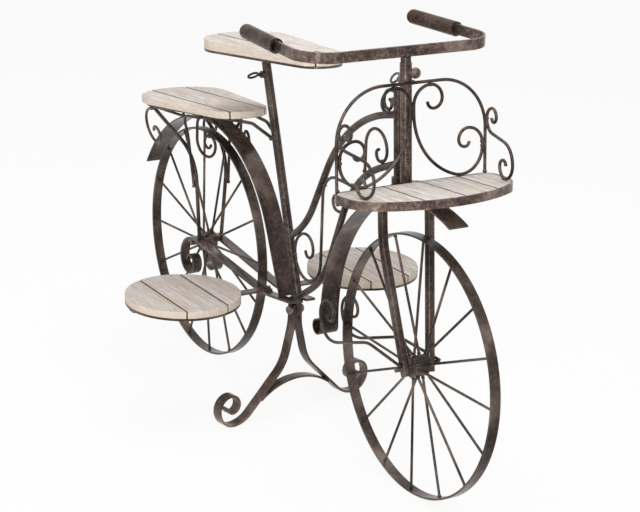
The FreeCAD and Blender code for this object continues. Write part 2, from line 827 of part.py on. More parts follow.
def wheel(prefix, hub, shift):
    """Rim, hub and spokes; the spokes are cut flush with rim and hub.

    The shift turns the spokes by a share of the angle between two of them.
    """
    rim_start = Vector(hub.x, -size("rim_width") / 2, hub.z)
    hub_start = Vector(hub.x, -size("hub_length") / 2, hub.z)
    keep(round_body(prefix + "_rim", "dims.wheel_radius", "dims.wheel_radius - dims.rim_thickness",
                    "dims.rim_width", Placement(rim_start, ALONG_Y)), prefix + "_rim")
    keep(round_body(prefix + "_hub", "dims.hub_radius", "dims.axle_radius + dims.running_clearance",
                    "dims.hub_length", Placement(hub_start, ALONG_Y)), prefix + "_hub")
    inside = cylinder(prefix + "_inside", "dims.wheel_radius - dims.rim_thickness", "dims.hub_length",
                      Placement(hub_start, ALONG_Y))
    middle = cylinder(prefix + "_middle", "dims.hub_radius", "dims.hub_length",
                      Placement(hub_start, ALONG_Y))
    spokes = []
    count = int(size("spoke_count"))
    for number in range(count):
        angle = math.radians(360.0 * (number + shift) / count)
        outward = Vector(math.cos(angle), 0, math.sin(angle))
        spread = size("spoke_spread") * (1 if number % 2 else -1)
        foot = hub + outward * (size("hub_radius") - 3) + Y_AXIS * spread
        top = hub + outward * (size("wheel_radius") - 1)
        spokes.append(cylinder("%s_spoke_%d" % (prefix, number), "dims.spoke_radius",
                               "%.6f" % (top - foot).Length, Placement(foot, Rotation(Z_AXIS, top - foot))))
    keep(common(prefix + "_spokes", group(prefix + "_spoke_set", spokes),
                cut(prefix + "_spoke_room", inside, middle)), prefix + "_spokes")


wheel("front_wheel", FRONT_HUB, 0.0)
wheel("rear_wheel", REAR_HUB, 0.2)

# Rear mudguard: comes down behind the seat tube on to both chain stays.
apex = (size("rear_guard_apex_x"), size("rear_guard_apex_height"))
slope = math.radians(size("rear_guard_front_slope_angle"))
front_bend = size("rear_guard_front_bend")
guard_top = (apex[0] + front_bend * math.sin(slope), apex[1] - front_bend * (1 - math.cos(slope)))
strap_slope = (strap_front[1] - strap_dip[1]) / (strap_front[0] - strap_dip[0])
guard_fall = guard_top[1] - strap_dip[1] - strap_slope * (guard_top[0] - strap_dip[0])
guard_run = guard_fall / (math.sin(slope) + strap_slope * math.cos(slope))
rear_guard_bend = Bend(guard_top[0] + guard_run * math.cos(slope),
                       guard_top[1] - guard_run * math.sin(slope),
                       180 - size("rear_guard_front_slope_angle"))
rear_guard_bend.run(guard_run).turn(front_bend, size("rear_guard_front_slope_angle"))
rear_guard_bend.turn(size("rear_guard_tail_bend"), size("rear_guard_tail_sweep_angle"))
guard_blank = strip("rear_mudguard_blank", rear_guard_bend, MID_PLANE, size("guard_thickness"),
                    "dims.guard_width")
keep(cut("rear_mudguard", guard_blank, *straps.values()), "rear_mudguard")
guard_room = strip("rear_mudguard_room", rear_guard_bend, MID_PLANE, size("guard_thickness") + 16,
                   "dims.guard_width", 8)

# Rear board: three planks on a hairpin of round rod welded to the seat tube.
carrier = Placement(Vector(size("board_x"), 0, size("board_under_height")),
                    Rotation(Y_AXIS, -size("board_tilt_angle")))
board_sheet = sheet_in(carrier, X_AXIS, Y_AXIS)
board_blank = extruded("rear_board_blank",
                       pear_face(board_sheet, -size("board_tail_reach"), size("board_tail_radius"),
                                 size("board_front_reach"), size("board_front_radius")),
                       board_sheet.normal, "dims.plank_thickness")
for plank in planks("rear_board_plank_", ["right", "middle", "left"], board_blank, carrier,
                    ["-dims.board_middle_plank / 2", "dims.board_middle_plank / 2"],
                    size("board_tail_reach") + size("board_tail_radius") * 2, "dims.plank_thickness"):
    keep(plank, plank.Name)

hoop_drop = size("hoop_radius") + GAP
hoop_sheet = sheet_in(carrier, X_AXIS, Y_AXIS, Vector(0, 0, -hoop_drop))
tail_x = -size("board_tail_reach")
hoop_bend = size("board_tail_radius") - size("hoop_inset")
along_seat = (hoop_sheet.origin - bracket).dot(hoop_sheet.normal) / seat_axis.dot(hoop_sheet.normal)
seat_meet = (bracket + seat_axis * along_seat - hoop_sheet.origin).dot(hoop_sheet.across)
hoop_end = (seat_meet, size("hoop_radius") + size("hoop_half_gap"))
reach = math.hypot(hoop_end[0] - tail_x, hoop_end[1])
swing = math.atan2(hoop_end[1], hoop_end[0] - tail_x) + math.acos(hoop_bend / reach)
hoop_turn = (tail_x + hoop_bend * math.cos(swing), hoop_bend * math.sin(swing))
knee_share = (size("hoop_knee") - hoop_turn[0]) / (hoop_end[0] - hoop_turn[0])
hoop_knee = (size("hoop_knee"), hoop_turn[1] + (hoop_end[1] - hoop_turn[1]) * knee_share)
seat_end = bracket + seat_axis * size("hoop_seat_join") + Y_AXIS * hoop_end[1]
p = hoop_sheet.point
left_arm = [p(*hoop_turn), p(*hoop_knee), seat_end]
right_arm = on_side(left_arm, -1)
hoop_edges = bent_edges(left_arm[::-1], [size("hoop_knee_bend")])
hoop_edges.append(Part.Arc(left_arm[0], p(tail_x - hoop_bend, 0), right_arm[0]).toShape())
hoop_edges += bent_edges(right_arm, [size("hoop_knee_bend")])
hoop_rod = rod("carrier_hoop_rod", hoop_edges, "dims.hoop_radius")
hoop = keep(cut("carrier_hoop", hoop_rod, seat_envelope), "carrier_hoop")


def hoop_point(angle):
    """A point on the hoop's tail, by its angle from straight ahead."""
    turn = math.radians(angle)
    return p(tail_x + hoop_bend * math.cos(turn), hoop_bend * math.sin(turn))


# Stays, struts and scrolls that carry the hoop on the axle straps and mudguard.
stays = []
struts = []
scrolls = []
for word, side in SIDES:
    under = Vector(0, 0, -size("hoop_radius") - size("stay_radius") - GAP)
    top = hoop_point(140) + under
    stay_x = REAR_HUB.x + size("stay_set_forward")
    knee = Vector(stay_x, strap_hub_y + size("stay_spread"), size("stay_knee_height"))
    foot = Vector(stay_x, strap_y(stay_x), strap_level)
    edges = bent_edges(on_side([top, knee, foot], side), [size("stay_bend")])
    stays.append(cut("carrier_stay_" + word, rod("carrier_stay_rod_" + word, edges, "dims.stay_radius"),
                     straps[word]))
    half_guard = size("guard_width") / 2
    for number, (start, guard_x) in enumerate((
            (hoop_point(98), apex[0] - size("strut_rear_set")),
            (p(*hoop_end) * 0.45 + p(*hoop_turn) * 0.55, apex[0] + size("strut_front_set")))):
        bow = size("rear_guard_tail_bend") if guard_x < apex[0] else front_bend
        height = apex[1] - bow + math.sqrt(bow ** 2 - (guard_x - apex[0]) ** 2)
        end = Vector(guard_x, half_guard - size("strut_inset"), height)
        strut_edges = [Part.LineSegment(*on_side([start, end], side)).toShape()]
        strut_name = "carrier_strut_%s_%d" % (word, number)
        struts.append(cut(strut_name, rod(strut_name + "_rod", strut_edges, "dims.scroll_rod_radius"),
                          hoop_rod, guard_room))
    tail = hoop_point(89) + Vector(0, 0, -size("hoop_radius") - rod_reach)
    tilt = math.radians(size("tail_scroll_tilt_angle"))
    tail_sheet = Sheet(Vector(tail.x, side * tail.y, tail.z), X_AXIS,
                       Vector(0, side * math.sin(tilt), math.cos(tilt)))
    tail_scroll = Bend(0, 0, 184).curl(size("tail_scroll_bend"), size("scroll_eye"), 5)
    scrolls.append(rod("tail_scroll_" + word, tail_scroll.edges(tail_sheet), "dims.scroll_rod_radius"))
    arm_line = (left_arm[1] - left_arm[0]).normalize()
    arm_spot = left_arm[0] + arm_line * size("arm_scroll_place")
    arm_spot.z -= size("hoop_radius") + rod_reach
    arm_sheet = Sheet(on_side([arm_spot], side)[0],
                      Vector(arm_line.x, side * arm_line.y, 0).normalize(), Z_AXIS)
    arm_scroll = Bend(0, 0, 180).turn(size("arm_scroll_shoulder"), 90).run(size("arm_scroll_run"))
    arm_scroll.curl(size("arm_scroll_bend"), size("arm_scroll_eye"), 6)
    scrolls.append(rod("arm_scroll_" + word, arm_scroll.edges(arm_sheet), "dims.scroll_rod_radius"))
    stay_reach = size("stay_radius") + rod_reach
    brace_top = arm_spot + Vector(0, stay_reach, 0)
    brace_shoulder = brace_top + Vector(-size("brace_back"), size("brace_spread"), -size("brace_drop"))
    brace_knee = brace_top + Vector(-size("brace_back"), -size("brace_spread"), -size("brace_knee_drop"))
    foot_share = size("brace_foot_drop") / (knee.z - foot.z)
    brace_foot = knee + (foot - knee) * foot_share + Vector(0, stay_reach, 0)
    brace_edges = bent_edges(on_side([brace_top, brace_shoulder, brace_knee, brace_foot], side),
                             [size("brace_shoulder_bend"), size("brace_knee_bend")])
    scrolls.append(rod("stay_brace_" + word, brace_edges, "dims.scroll_rod_radius"))
keep(group("carrier_stays", stays), "carrier_stays")
keep(group("carrier_struts", struts), "carrier_struts")
keep(group("carrier_scrolls", scrolls), "carrier_scrolls")

# Pedal shelves: round plank tops on an iron ring and bar riveted to the straps.
ahead_rise = math.atan2(strap_front[1] - strap_dip[1], strap_front[0] - strap_dip[0])
behind_rise = math.atan2(strap_rise[1] - strap_dip[1], strap_dip[0] - strap_rise[0])
dip_lift = size("strap_dip_bend") * (1 / math.cos((ahead_rise + behind_rise) / 2) - 1)
dip_rise = size("pedal_bar_width") ** 2 / (8 * (size("strap_dip_bend") - strap_thickness / 2))
dip_rise += size("pedal_bar_width") / 2 * math.tan(abs(ahead_rise - behind_rise) / 2)
bar_under = size("strap_dip_height") + dip_lift + dip_rise + strap_thickness / 2 + GAP
ring_under = bar_under + size("pedal_bar_thickness")
board_under = ring_under + size("pedal_ring_thickness")
rivets = []
for word, side in SIDES:
    centre = Vector(size("pedal_shelf_x"), side * size("pedal_shelf_reach"), ring_under)
    ring = round_body("pedal_ring_" + word, "dims.pedal_shelf_radius",
                      "dims.pedal_shelf_radius - dims.pedal_ring_width",
                      "dims.pedal_ring_thickness", Placement(centre, Rotation()))
    inner = strap_y(size("pedal_shelf_x")) - size("strap_width") / 2
    outer = size("pedal_shelf_reach") + size("pedal_shelf_radius") - 2
    start = Vector(size("pedal_shelf_x") - size("pedal_bar_width") / 2,
                   inner if side > 0 else -outer, bar_under)
    bar = box("pedal_bar_" + word, "dims.pedal_bar_width", "%.6f" % (outer - inner),
              "dims.pedal_bar_thickness", Placement(start, Rotation()))
    holes = []
    for number, y in enumerate(rivet_spots):
        name = "rivet_%s_%d" % (word, number)
        low = Vector(size("pedal_shelf_x"), side * y,
                     size("strap_dip_height") + dip_lift - strap_thickness / 2)
        holes.append(cylinder(name + "_hole", "dims.rivet_radius + dims.weld_gap",
                              "dims.strap_thickness + dims.pedal_bar_thickness + 5",
                              Placement(low, Rotation())))
        foot = low - Vector(0, 0, size("rivet_head_height") + GAP)
        top = Vector(low.x, low.y, ring_under + GAP)
        shank = cylinder(name + "_shank", "dims.rivet_radius", "%.6f" % (top - foot).z,
                         Placement(foot, Rotation()))
        heads = [cylinder("%s_head_%d" % (name, end), "dims.rivet_head_radius", "dims.rivet_head_height",
                          Placement(spot, Rotation())) for end, spot in enumerate((foot, top))]
        rivets.append(fused(name, shank, *heads))
    keep(cut("pedal_shelf_frame_" + word, fused("pedal_frame_blank_" + word, ring, bar), *holes),
         "pedal_shelf_frame_" + word)
    board_spot = Placement(Vector(centre.x, centre.y, board_under), Rotation())
    disc = cylinder("pedal_disc_" + word, "dims.pedal_shelf_radius", "dims.plank_thickness", board_spot)
    members = planks("pedal_plank_%s_" % word, ["inner", "middle", "outer"], disc, board_spot,
                     ["-dims.pedal_middle_plank / 2", "dims.pedal_middle_plank / 2"],
                     size("pedal_shelf_radius") * 1.5, "dims.plank_thickness")
    keep(group("pedal_shelf_planks_" + word, members), "pedal_shelf_planks_" + word)
keep(group("pedal_shelf_rivets", rivets), "pedal_shelf_rivets")

# Kickstand: two scrolled legs bolted to a lug under the seat tube, tied by an arch.
stand_thickness = size("stand_strip_thickness")
stand = Placement(Vector(seat_foot.Base.x - size("stand_set_back"), 0, 0),
                  Rotation(Z_AXIS, size("stand_yaw_angle")))
stand_sheet = sheet_in(stand, Y_AXIS, Z_AXIS)
lug_half = size("stand_lug_half_width")
bolt_half = lug_half + stand_thickness + 2 * GAP
bolt_hole = cylinder("stand_bolt_hole", "dims.stand_bolt_radius + dims.weld_gap",
                     "4 * (dims.stand_lug_half_width + dims.stand_strip_thickness)",
                     stand.multiply(Placement(Vector(0, -2 * bolt_half, size("stand_bolt_height")), ALONG_Y)))
lug_start = Vector(-size("stand_lug_width") / 2, -lug_half,
                   bracket.z - size("stand_lug_height") - size("stand_lug_drop"))
lug_blank = box("stand_lug_blank", "dims.stand_lug_width", "dims.stand_lug_half_width * 2",
                "dims.stand_lug_height", stand.multiply(Placement(lug_start, Rotation())))
keep(cut("kickstand_lug", lug_blank, seat_envelope, lower_envelope, bolt_hole), "kickstand_lug")


def leg_bend():
    """Straight at the lug, splayed twice, level at the foot and then curled up."""
    splay, knee = size("stand_splay_angle"), size("stand_knee_angle")
    high, low, sole = size("stand_high_bend"), size("stand_low_bend"), size("stand_sole_bend")
    start_y = lug_half + GAP + stand_thickness / 2
    straight = size("stand_straight")
    sin_s, cos_s = math.sin(math.radians(splay)), math.cos(math.radians(splay))
    sin_k, cos_k = math.sin(math.radians(knee)), math.cos(math.radians(knee))
    fall = size("stand_top_height") - straight - stand_thickness / 2
    fall -= high * sin_s + low * (sin_k - sin_s) + sole * (1 - sin_k)
    spread = size("stand_foot_reach") - start_y
    spread -= high * (1 - cos_s) + low * (cos_s - cos_k) + sole * cos_k
    lower_run = (spread * cos_s - fall * sin_s) / (sin_k * cos_s - cos_k * sin_s)
    upper_run_length = (fall - lower_run * cos_k) / cos_s
    leg = Bend(start_y, size("stand_top_height"), 270).run(straight)
    leg.turn(high, splay).run(upper_run_length).turn(low, knee - splay).run(lower_run)
    leg.turn(sole, 90 - knee)
    return leg.curl(size("stand_curl_start"), size("stand_curl_end"), 5)


legs = {}
for word, side in SIDES:
    sheet = Sheet(stand_sheet.origin, stand_sheet.across * side, Z_AXIS)
    leg_blank = strip("kickstand_leg_blank_" + word, leg_bend(), sheet, stand_thickness,
                      "dims.stand_strip_width")
    legs[word] = keep(cut("kickstand_leg_" + word, leg_blank, bolt_hole), "kickstand_leg_" + word)
arch_fall = size("stand_arch_height") - size("stand_arch_end_height")
arch_bend = (size("stand_arch_reach") ** 2 + arch_fall ** 2) / (2 * arch_fall)
arch_half = math.degrees(math.asin(size("stand_arch_reach") / arch_bend))
arch = Bend(-size("stand_arch_reach"), size("stand_arch_height") - arch_fall, arch_half)
arch.turn(arch_bend, -2 * arch_half)
arch_blank = strip("kickstand_arch_blank", arch, stand_sheet, size("stand_arch_thickness"),
                   "dims.stand_strip_width")
keep(cut("kickstand_cross_strip", arch_blank, *legs.values()), "kickstand_cross_strip")
head_gap = bolt_half + GAP
bolt_ends = [cylinder("stand_bolt_end_" + word, "dims.stand_bolt_head_radius",
                      "dims.stand_bolt_head_height",
                      stand.multiply(Placement(Vector(0, side * head_gap, size("stand_bolt_height")),
                                               ALONG_Y if side > 0 else toward_right)))
             for word, side in SIDES]
bolt_shank = cylinder("stand_bolt_shank", "dims.stand_bolt_radius", "%.6f" % (2 * head_gap),
                      stand.multiply(Placement(Vector(0, -head_gap, size("stand_bolt_height")), ALONG_Y)))
keep(fused("kickstand_bolt", bolt_shank, *bolt_ends), "kickstand_bolt")

# Front post: bored for the handlebar stem, coped on to the mudguard below and
# carrying the shelf lug, the gallery clip and the thumbscrew boss.


def on_head(x, y, z, turn=Rotation()):
    """A placement given in the raked frame of the steering head."""
    return head.multiply(Placement(Vector(x, y, z), turn))


offset = size("post_offset")
post_length = "dims.post_foot + dims.post_top"
post_envelope = cylinder("post_envelope", "dims.post_radius", post_length,
                         on_head(offset, 0, -size("post_foot")))
post_bore = cylinder("post_bore", "dims.stem_radius + dims.running_clearance", "dims.post_bore_depth + 1",
                     on_head(offset, 0, size("post_top") - size("post_bore_depth")))
back_turn = Rotation(Y_AXIS, -90)
bar_boss = cylinder("bar_boss", "dims.boss_radius", "dims.post_radius + dims.boss_length",
                    on_head(offset, 0, size("bar_screw_height"), back_turn))
bar_screw_hole = cylinder("bar_screw_hole", "dims.screw_radius + dims.running_clearance",
                          "dims.post_radius + dims.boss_length + 1",
                          on_head(offset, 0, size("bar_screw_height"), back_turn))
shelf_under = size("shelf_height") - size("band_height")
shelf_lug = box("shelf_lug", "dims.shelf_back - dims.post_offset - dims.weld_gap",
                "dims.shelf_lug_width", "dims.band_height",
                on_head(offset, -size("shelf_lug_width") / 2, shelf_under))
gallery_top = size("shelf_height") + size("gallery_height")
gallery_clip = box("gallery_clip",
                   "dims.gallery_set_back - dims.scroll_rod_radius - dims.post_offset - dims.weld_gap",
                   "dims.gallery_clip_width", "dims.gallery_clip_height",
                   on_head(offset, -size("gallery_clip_width") / 2, gallery_top - size("gallery_clip_height") / 2))
guard_outer = cylinder("front_guard_envelope", "dims.front_guard_radius + dims.guard_thickness / 2",
                       "100", Placement(FRONT_HUB - Y_AXIS * 50, ALONG_Y))
post_blank = fused("front_post_blank", post_envelope, bar_boss, shelf_lug, gallery_clip)
keep(cut("front_post", post_blank, post_bore, bar_screw_hole, guard_outer), "front_post")

# Collars: welded to the post and free to turn on the head tube.
collar_bore = cylinder("collar_bore", "dims.head_tube_radius + dims.running_clearance",
                       "dims.head_tube_length + 40", on_head(0, 0, -20))
collars = []
for word in ("low", "high"):
    height = size("collar_" + word)
    ring = cylinder("collar_ring_" + word, "dims.post_offset - dims.post_radius", "dims.collar_height",
                    on_head(0, 0, height))
    tongue = box("collar_tongue_" + word, "dims.post_offset", "dims.collar_tongue_width",
                 "dims.collar_height", on_head(0, -size("collar_tongue_width") / 2, height))
    collars.append(cut("collar_" + word, fused("collar_blank_" + word, ring, tongue),
                       collar_bore, post_envelope))
keep(group("steering_collars", collars), "steering_collars")

# Fork blades: out from the post above the mudguard, down and in to the axle.
crown = head.multVec(Vector(offset, 0, size("fork_crown")))
for word, side in SIDES:
    half = size("fork_half_width")
    shoulder = Vector(crown.x, half, crown.z)
    knee = Vector(crown.x + 10, half, size("fork_knee_height"))
    hub_side = Vector(FRONT_HUB.x, fork_end_y, FRONT_HUB.z)
    tip = hub_side + (hub_side - knee).normalize() * size("fork_end")
    edges = bent_edges(on_side([crown, shoulder, knee, tip], side),
                       [size("fork_crown_bend"), size("fork_knee_bend")])
    blade = rod("fork_blade_rod_" + word, edges, "dims.fork_radius")
    keep(cut("fork_blade_" + word, blade, post_blank, front_axle), "fork_blade_" + word)

# Front mudguard: round the wheel, its lower end rolled into an eye.
tip_angle = math.radians(size("front_guard_tip_angle"))
guard_radius = size("front_guard_radius")
front_guard_bend = Bend(FRONT_HUB.x + guard_radius * math.cos(tip_angle),
                        FRONT_HUB.z + guard_radius * math.sin(tip_angle),
                        size("front_guard_tip_angle") + 90)
front_guard_bend.turn(guard_radius, size("front_guard_sweep_angle"))
front_guard_bend.turn(size("front_guard_eye"), -size("front_guard_eye_angle"))
keep(strip("front_mudguard", front_guard_bend, MID_PLANE, size("guard_thickness"), "dims.guard_width"),
     "front_mudguard")

# Mudguard stays: from the axle ends back to a scroll on each edge of the guard.
stay_guard_y = size("guard_width") / 2 + rod_reach
stay_guard_x = FRONT_HUB.x - guard_radius - size("front_guard_eye")
stay_yaw = math.atan2(stay_hub_y - stay_guard_y, FRONT_HUB.x - stay_guard_x)
stay_level = FRONT_HUB.z + size("axle_radius") + rod_reach
guard_stays = []
for word, side in SIDES:
    across = Vector(math.cos(stay_yaw), side * math.sin(stay_yaw), 0)
    plane = Sheet(Vector(stay_guard_x, side * stay_guard_y, 0), across, Z_AXIS)
    length = (FRONT_HUB.x - stay_guard_x) / math.cos(stay_yaw)
    shoulder = (length - size("guard_stay_shoulder"), stay_level + size("guard_stay_rise"))
    dip = (length - size("guard_stay_reach"), stay_level - size("guard_stay_fall"))
    stay = bend_through([(length + size("axle_radius") * 2, stay_level), shoulder, dip],
                        [size("guard_stay_bend")])
    stay.turn(size("guard_stay_bend"), 180 - stay.heading % 360)
    stay.curl(size("guard_stay_curl"), size("scroll_eye"), 5, -1)
    guard_stays.append(rod("front_guard_stay_" + word, stay.edges(plane), "dims.scroll_rod_radius"))
keep(group("front_guard_stays", guard_stays), "front_guard_stays")

# Front shelf: planks inside an iron band, on two flat bearers.
shelf_sheet = sheet_in(head, X_AXIS, Y_AXIS, Vector(0, 0, shelf_under))
band_outer = extruded("band_outer", shelf_face(shelf_sheet, 0), shelf_sheet.normal, "dims.band_height")
band_inner = extruded("band_inner", shelf_face(shelf_sheet, size("band_thickness")), shelf_sheet.normal,
                      "dims.band_height")
keep(cut("front_shelf_band", band_outer, band_inner), "front_shelf_band")
bearer_height = "dims.band_height - dims.shelf_plank_thickness"
bearers = []
for number, word in enumerate(("back", "front")):
    middle = size("shelf_back") + size("bearer_%s_set" % word)
    bar = box("bearer_bar_%d" % number, "dims.bearer_width", "dims.shelf_half_width * 2", bearer_height,
              on_head(middle - size("bearer_width") / 2, -size("shelf_half_width"), shelf_under))
    bearers.append(common("bearer_%d" % number, bar, band_inner))
keep(group("front_shelf_bearers", bearers), "front_shelf_bearers")
plank_under = size("shelf_height") - size("shelf_plank_thickness")
plank_sheet = sheet_in(head, X_AXIS, Y_AXIS, Vector(0, 0, plank_under))
shelf_blank = extruded("shelf_blank", shelf_face(plank_sheet, size("band_thickness") + 0.3),
                       plank_sheet.normal, "dims.shelf_plank_thickness")
shelf_seams = ["dims.shelf_plank_width * %d - dims.shelf_seam_offset" % number for number in range(3)]
for plank in planks("front_shelf_plank_", ["right", "middle_right", "middle", "left"], shelf_blank,
                    on_head(0, 0, plank_under), shelf_seams,
                    size("shelf_front") + size("shelf_half_width"), "dims.shelf_plank_thickness"):
    keep(plank, plank.Name)

# Gallery: an arch of rod behind the shelf with a scroll in each half, and a
# scrolled wing at each end of the shelf.
gallery_sheet = sheet_in(head, Y_AXIS, Z_AXIS, Vector(size("gallery_set_back"), 0, 0))
foot = size("shelf_height") + GAP
half = size("gallery_half_width")
gallery_bend = bend_through([(-half, foot), (-half, gallery_top), (half, gallery_top), (half, foot)],
                            [size("gallery_bend")] * 2)
keep(rod("gallery_arch", gallery_bend.edges(gallery_sheet), "dims.scroll_rod_radius"), "gallery_arch")
scroll_floor = foot + ROD
scroll_top = gallery_top - 2 * ROD - GAP
inner_low = scroll_top - size("gallery_scroll_top") - size("gallery_scroll_run")
foot_bend = size("gallery_scroll_foot")
foot_across = half - 2 * ROD - GAP - foot_bend - rod_reach
foot_fall = inner_low - scroll_floor - foot_bend
belly = (foot_across ** 2 + foot_fall ** 2 - foot_bend ** 2) / (2 * (foot_across - foot_bend))
belly_turn = math.degrees(math.atan2(foot_fall, belly - foot_across))


def gallery_scroll(a, b):
    """A small curl above, a wide belly and a curl that stands on the shelf."""
    bend = Bend(a, b, 270).curl(size("gallery_scroll_eye"), size("gallery_scroll_top"), 4)
    bend.run(size("gallery_scroll_run")).turn(belly, belly_turn).turn(foot_bend, 180 - belly_turn)
    return bend.run(size("gallery_scroll_rise")).curl(size("gallery_scroll_curl"), size("gallery_scroll_end"), 4)


def gallery_wing(a, b):
    """An S: a curl against the arch's leg, and a wider one that rests on the shelf."""
    bend = Bend(a, b, 270).curl(size("wing_eye"), size("wing_top"), 4)
    bend.turn(size("wing_upper_bend"), size("wing_slope_angle")).run(size("wing_run"))
    bend.turn(size("wing_lower_bend"), -size("wing_slope_angle"))
    return bend.curl(size("wing_foot"), size("wing_end"), 4, -1)


curl_end = gallery_scroll(0, 0).spans[4]
wing_spans = gallery_wing(0, 0).spans
wing_side, wing_low = wing_spans[4][0], wing_spans[8][1]
wing_yaw = math.radians(size("wing_yaw_angle"))
gallery_scrolls = []
gallery_wings = []
for word, side in SIDES:
    sheet = Sheet(gallery_sheet.origin, gallery_sheet.across * side, gallery_sheet.up)
    scroll = gallery_scroll(rod_reach - curl_end[0], inner_low + size("gallery_scroll_run") - curl_end[1])
    gallery_scrolls.append(rod("gallery_scroll_" + word, scroll.edges(sheet), "dims.scroll_rod_radius"))
    wing_sheet = sheet_in(head, Vector(math.cos(wing_yaw), -side * math.sin(wing_yaw), 0), Z_AXIS,
                          Vector(size("gallery_set_back"), side * half, 0))
    wing = gallery_wing(2 * ROD + GAP - wing_side, scroll_floor - wing_low)
    gallery_wings.append(rod("gallery_wing_" + word, wing.edges(wing_sheet), "dims.scroll_rod_radius"))
keep(group("gallery_scrolls", gallery_scrolls), "gallery_scrolls")
keep(group("gallery_wings", gallery_wings), "gallery_wings")

# Domed knob on the front of the post, above the gallery clip.
knob_spot = on_head(offset, 0, size("post_top") - size("knob_drop"), ALONG_X)
knob_stalk = cylinder("knob_stalk", "dims.knob_stalk_radius", "dims.post_radius + dims.knob_reach", knob_spot)
knob_ball = bound("Part::Sphere", "knob_ball", Radius="dims.knob_radius")
knob_ball.Angle1 = 0
knob_ball.Angle2 = 90
knob_end = Vector(0, 0, size("post_radius") + size("knob_reach"))
knob_ball.Placement = knob_spot.multiply(Placement(knob_end, Rotation()))
keep(cut("dome_knob", fused("dome_knob_blank", knob_stalk, knob_ball), post_envelope), "dome_knob")

# Handlebar: a flat bar on edge, welded on the stem and bent back into both grips.
bar_centre = head.multVec(Vector(offset, 0, size("post_top"))).z + size("bar_rise")
bar_low = bar_centre - size("bar_height") / 2
post_axis = head.Rotation.multVec(Z_AXIS)
post_point = head.multVec(Vector(offset, 0, 0))
bar_x = (post_point + post_axis * ((bar_low - post_point.z) / post_axis.z)).x
bar_sheet = Sheet(Vector(0, 0, bar_centre), X_AXIS, Y_AXIS)
grip_end = Vector(bar_x - size("bar_reach"), size("grip_half_width"), bar_centre)
bar_corner = Vector(bar_x, size("bar_half_width"), bar_centre)
grip_line = (grip_end - bar_corner).normalize()
bar_end = grip_end - grip_line * size("bar_end_set")
bar_bend = bend_through([(bar_end.x, bar_end.y), (bar_corner.x, bar_corner.y),
                         (bar_corner.x, -bar_corner.y), (bar_end.x, -bar_end.y)], [size("bar_bend")] * 2)
keep(strip("handlebar_bar", bar_bend, bar_sheet, size("bar_thickness"), "dims.bar_height"), "handlebar_bar")
stem_rod = cylinder("stem_rod", "dims.stem_radius", "dims.stem_length + 20",
                    Placement(Vector(bar_x, 0, bar_low) - post_axis * size("stem_length"), head.Rotation))
stem_core = cylinder("stem_core", "dims.stem_radius - dims.tube_wall * 1.5", "dims.stem_length + 20",
                     stem_rod.Placement)
above_stem = box("above_stem", "60", "60", "60", Placement(Vector(bar_x - 30, -30, bar_low - GAP), Rotation()))
keep(cut("handlebar_stem", stem_rod, stem_core, above_stem), "handlebar_stem")
grip_bore = "sqrt(dims.bar_height ^ 2 + dims.bar_thickness ^ 2) / 2 + dims.weld_gap"
for word, side in SIDES:
    line = Vector(grip_line.x, side * grip_line.y, 0)
    rear = Vector(grip_end.x, side * grip_end.y, grip_end.z)
    front = rear - line * (size("grip_length") - size("grip_radius"))
    turn = Rotation(Z_AXIS, line)
    barrel = cylinder("grip_barrel_" + word, "dims.grip_radius", "dims.grip_length - dims.grip_radius",
                      Placement(front, turn))
    cap = bound("Part::Sphere", "grip_cap_" + word, Radius="dims.grip_radius")
    cap.Placement = Placement(rear, turn)
    bore = cylinder("grip_bore_" + word, grip_bore, "dims.grip_length - dims.grip_radius - 8",
                    Placement(front, turn))
    keep(cut("grip_" + word, fused("grip_blank_" + word, barrel, cap), bore), "grip_" + word)


def thumbscrew(name, spot, post_radius):
    """A screw with a wire ring for the fingers, set along the placement's Z."""
    tip = size(post_radius) + size("screw_tip_gap")
    face = size("seat_tube_radius" if "seat" in post_radius else "post_radius") + size("boss_length")
    neck = face + size("screw_neck")
    shank = cylinder(name + "_shank", "dims.screw_radius", "%.6f" % (neck - tip),
                     spot.multiply(Placement(Vector(0, 0, tip), Rotation())))
    ring = bound("Part::Torus", name + "_ring", Radius1="dims.screw_ring_radius",
                 Radius2="dims.screw_ring_wire")
    ring_turn = Rotation(Z_AXIS, size("screw_ring_turn_angle")).multiply(ALONG_Y)
    ring.Placement = spot.multiply(Placement(Vector(0, 0, neck + size("screw_ring_radius")), ring_turn))
    return keep(fused(name, shank, ring), name)


thumbscrew("handlebar_thumbscrew", on_head(offset, 0, size("bar_screw_height"), back_turn), "stem_radius")
thumbscrew("seat_thumbscrew", Placement(seat_screw_spot, toward_right), "seat_post_radius")

# Seat: two planks on a pear-shaped iron strip, welded to the sliding post.
seat_top = bracket + seat_axis * (size("seat_tube_length") + size("seat_lift"))
saddle = Placement(seat_top, Rotation(Y_AXIS, -size("seat_tilt_angle")))
saddle_sheet = sheet_in(saddle, X_AXIS, Y_AXIS)
strip_width = size("seat_strip_width")
seat_rear, seat_nose = -size("seat_rear_reach"), size("seat_nose_reach")
outer_plate = extruded("seat_plate", pear_face(saddle_sheet, seat_rear, size("seat_rear_radius"),
                                               seat_nose, size("seat_nose_radius")),
                       saddle_sheet.normal, "dims.seat_strip_thickness")
inner_plate = extruded("seat_plate_hole",
                       pear_face(saddle_sheet, seat_rear, size("seat_rear_radius") - strip_width,
                                 seat_nose, size("seat_nose_radius") - strip_width),
                       saddle_sheet.normal, "dims.seat_strip_thickness")
cross_start = Vector(-size("seat_cross_width") / 2, -size("seat_rear_radius"), 0)
cross_bar = box("seat_cross_bar", "dims.seat_cross_width", "dims.seat_rear_radius * 2",
                "dims.seat_strip_thickness", saddle.multiply(Placement(cross_start, Rotation())))
seat_ring = cut("seat_ring", outer_plate, inner_plate)
keep(fused("seat_frame", seat_ring, common("seat_cross", cross_bar, outer_plate)), "seat_frame")
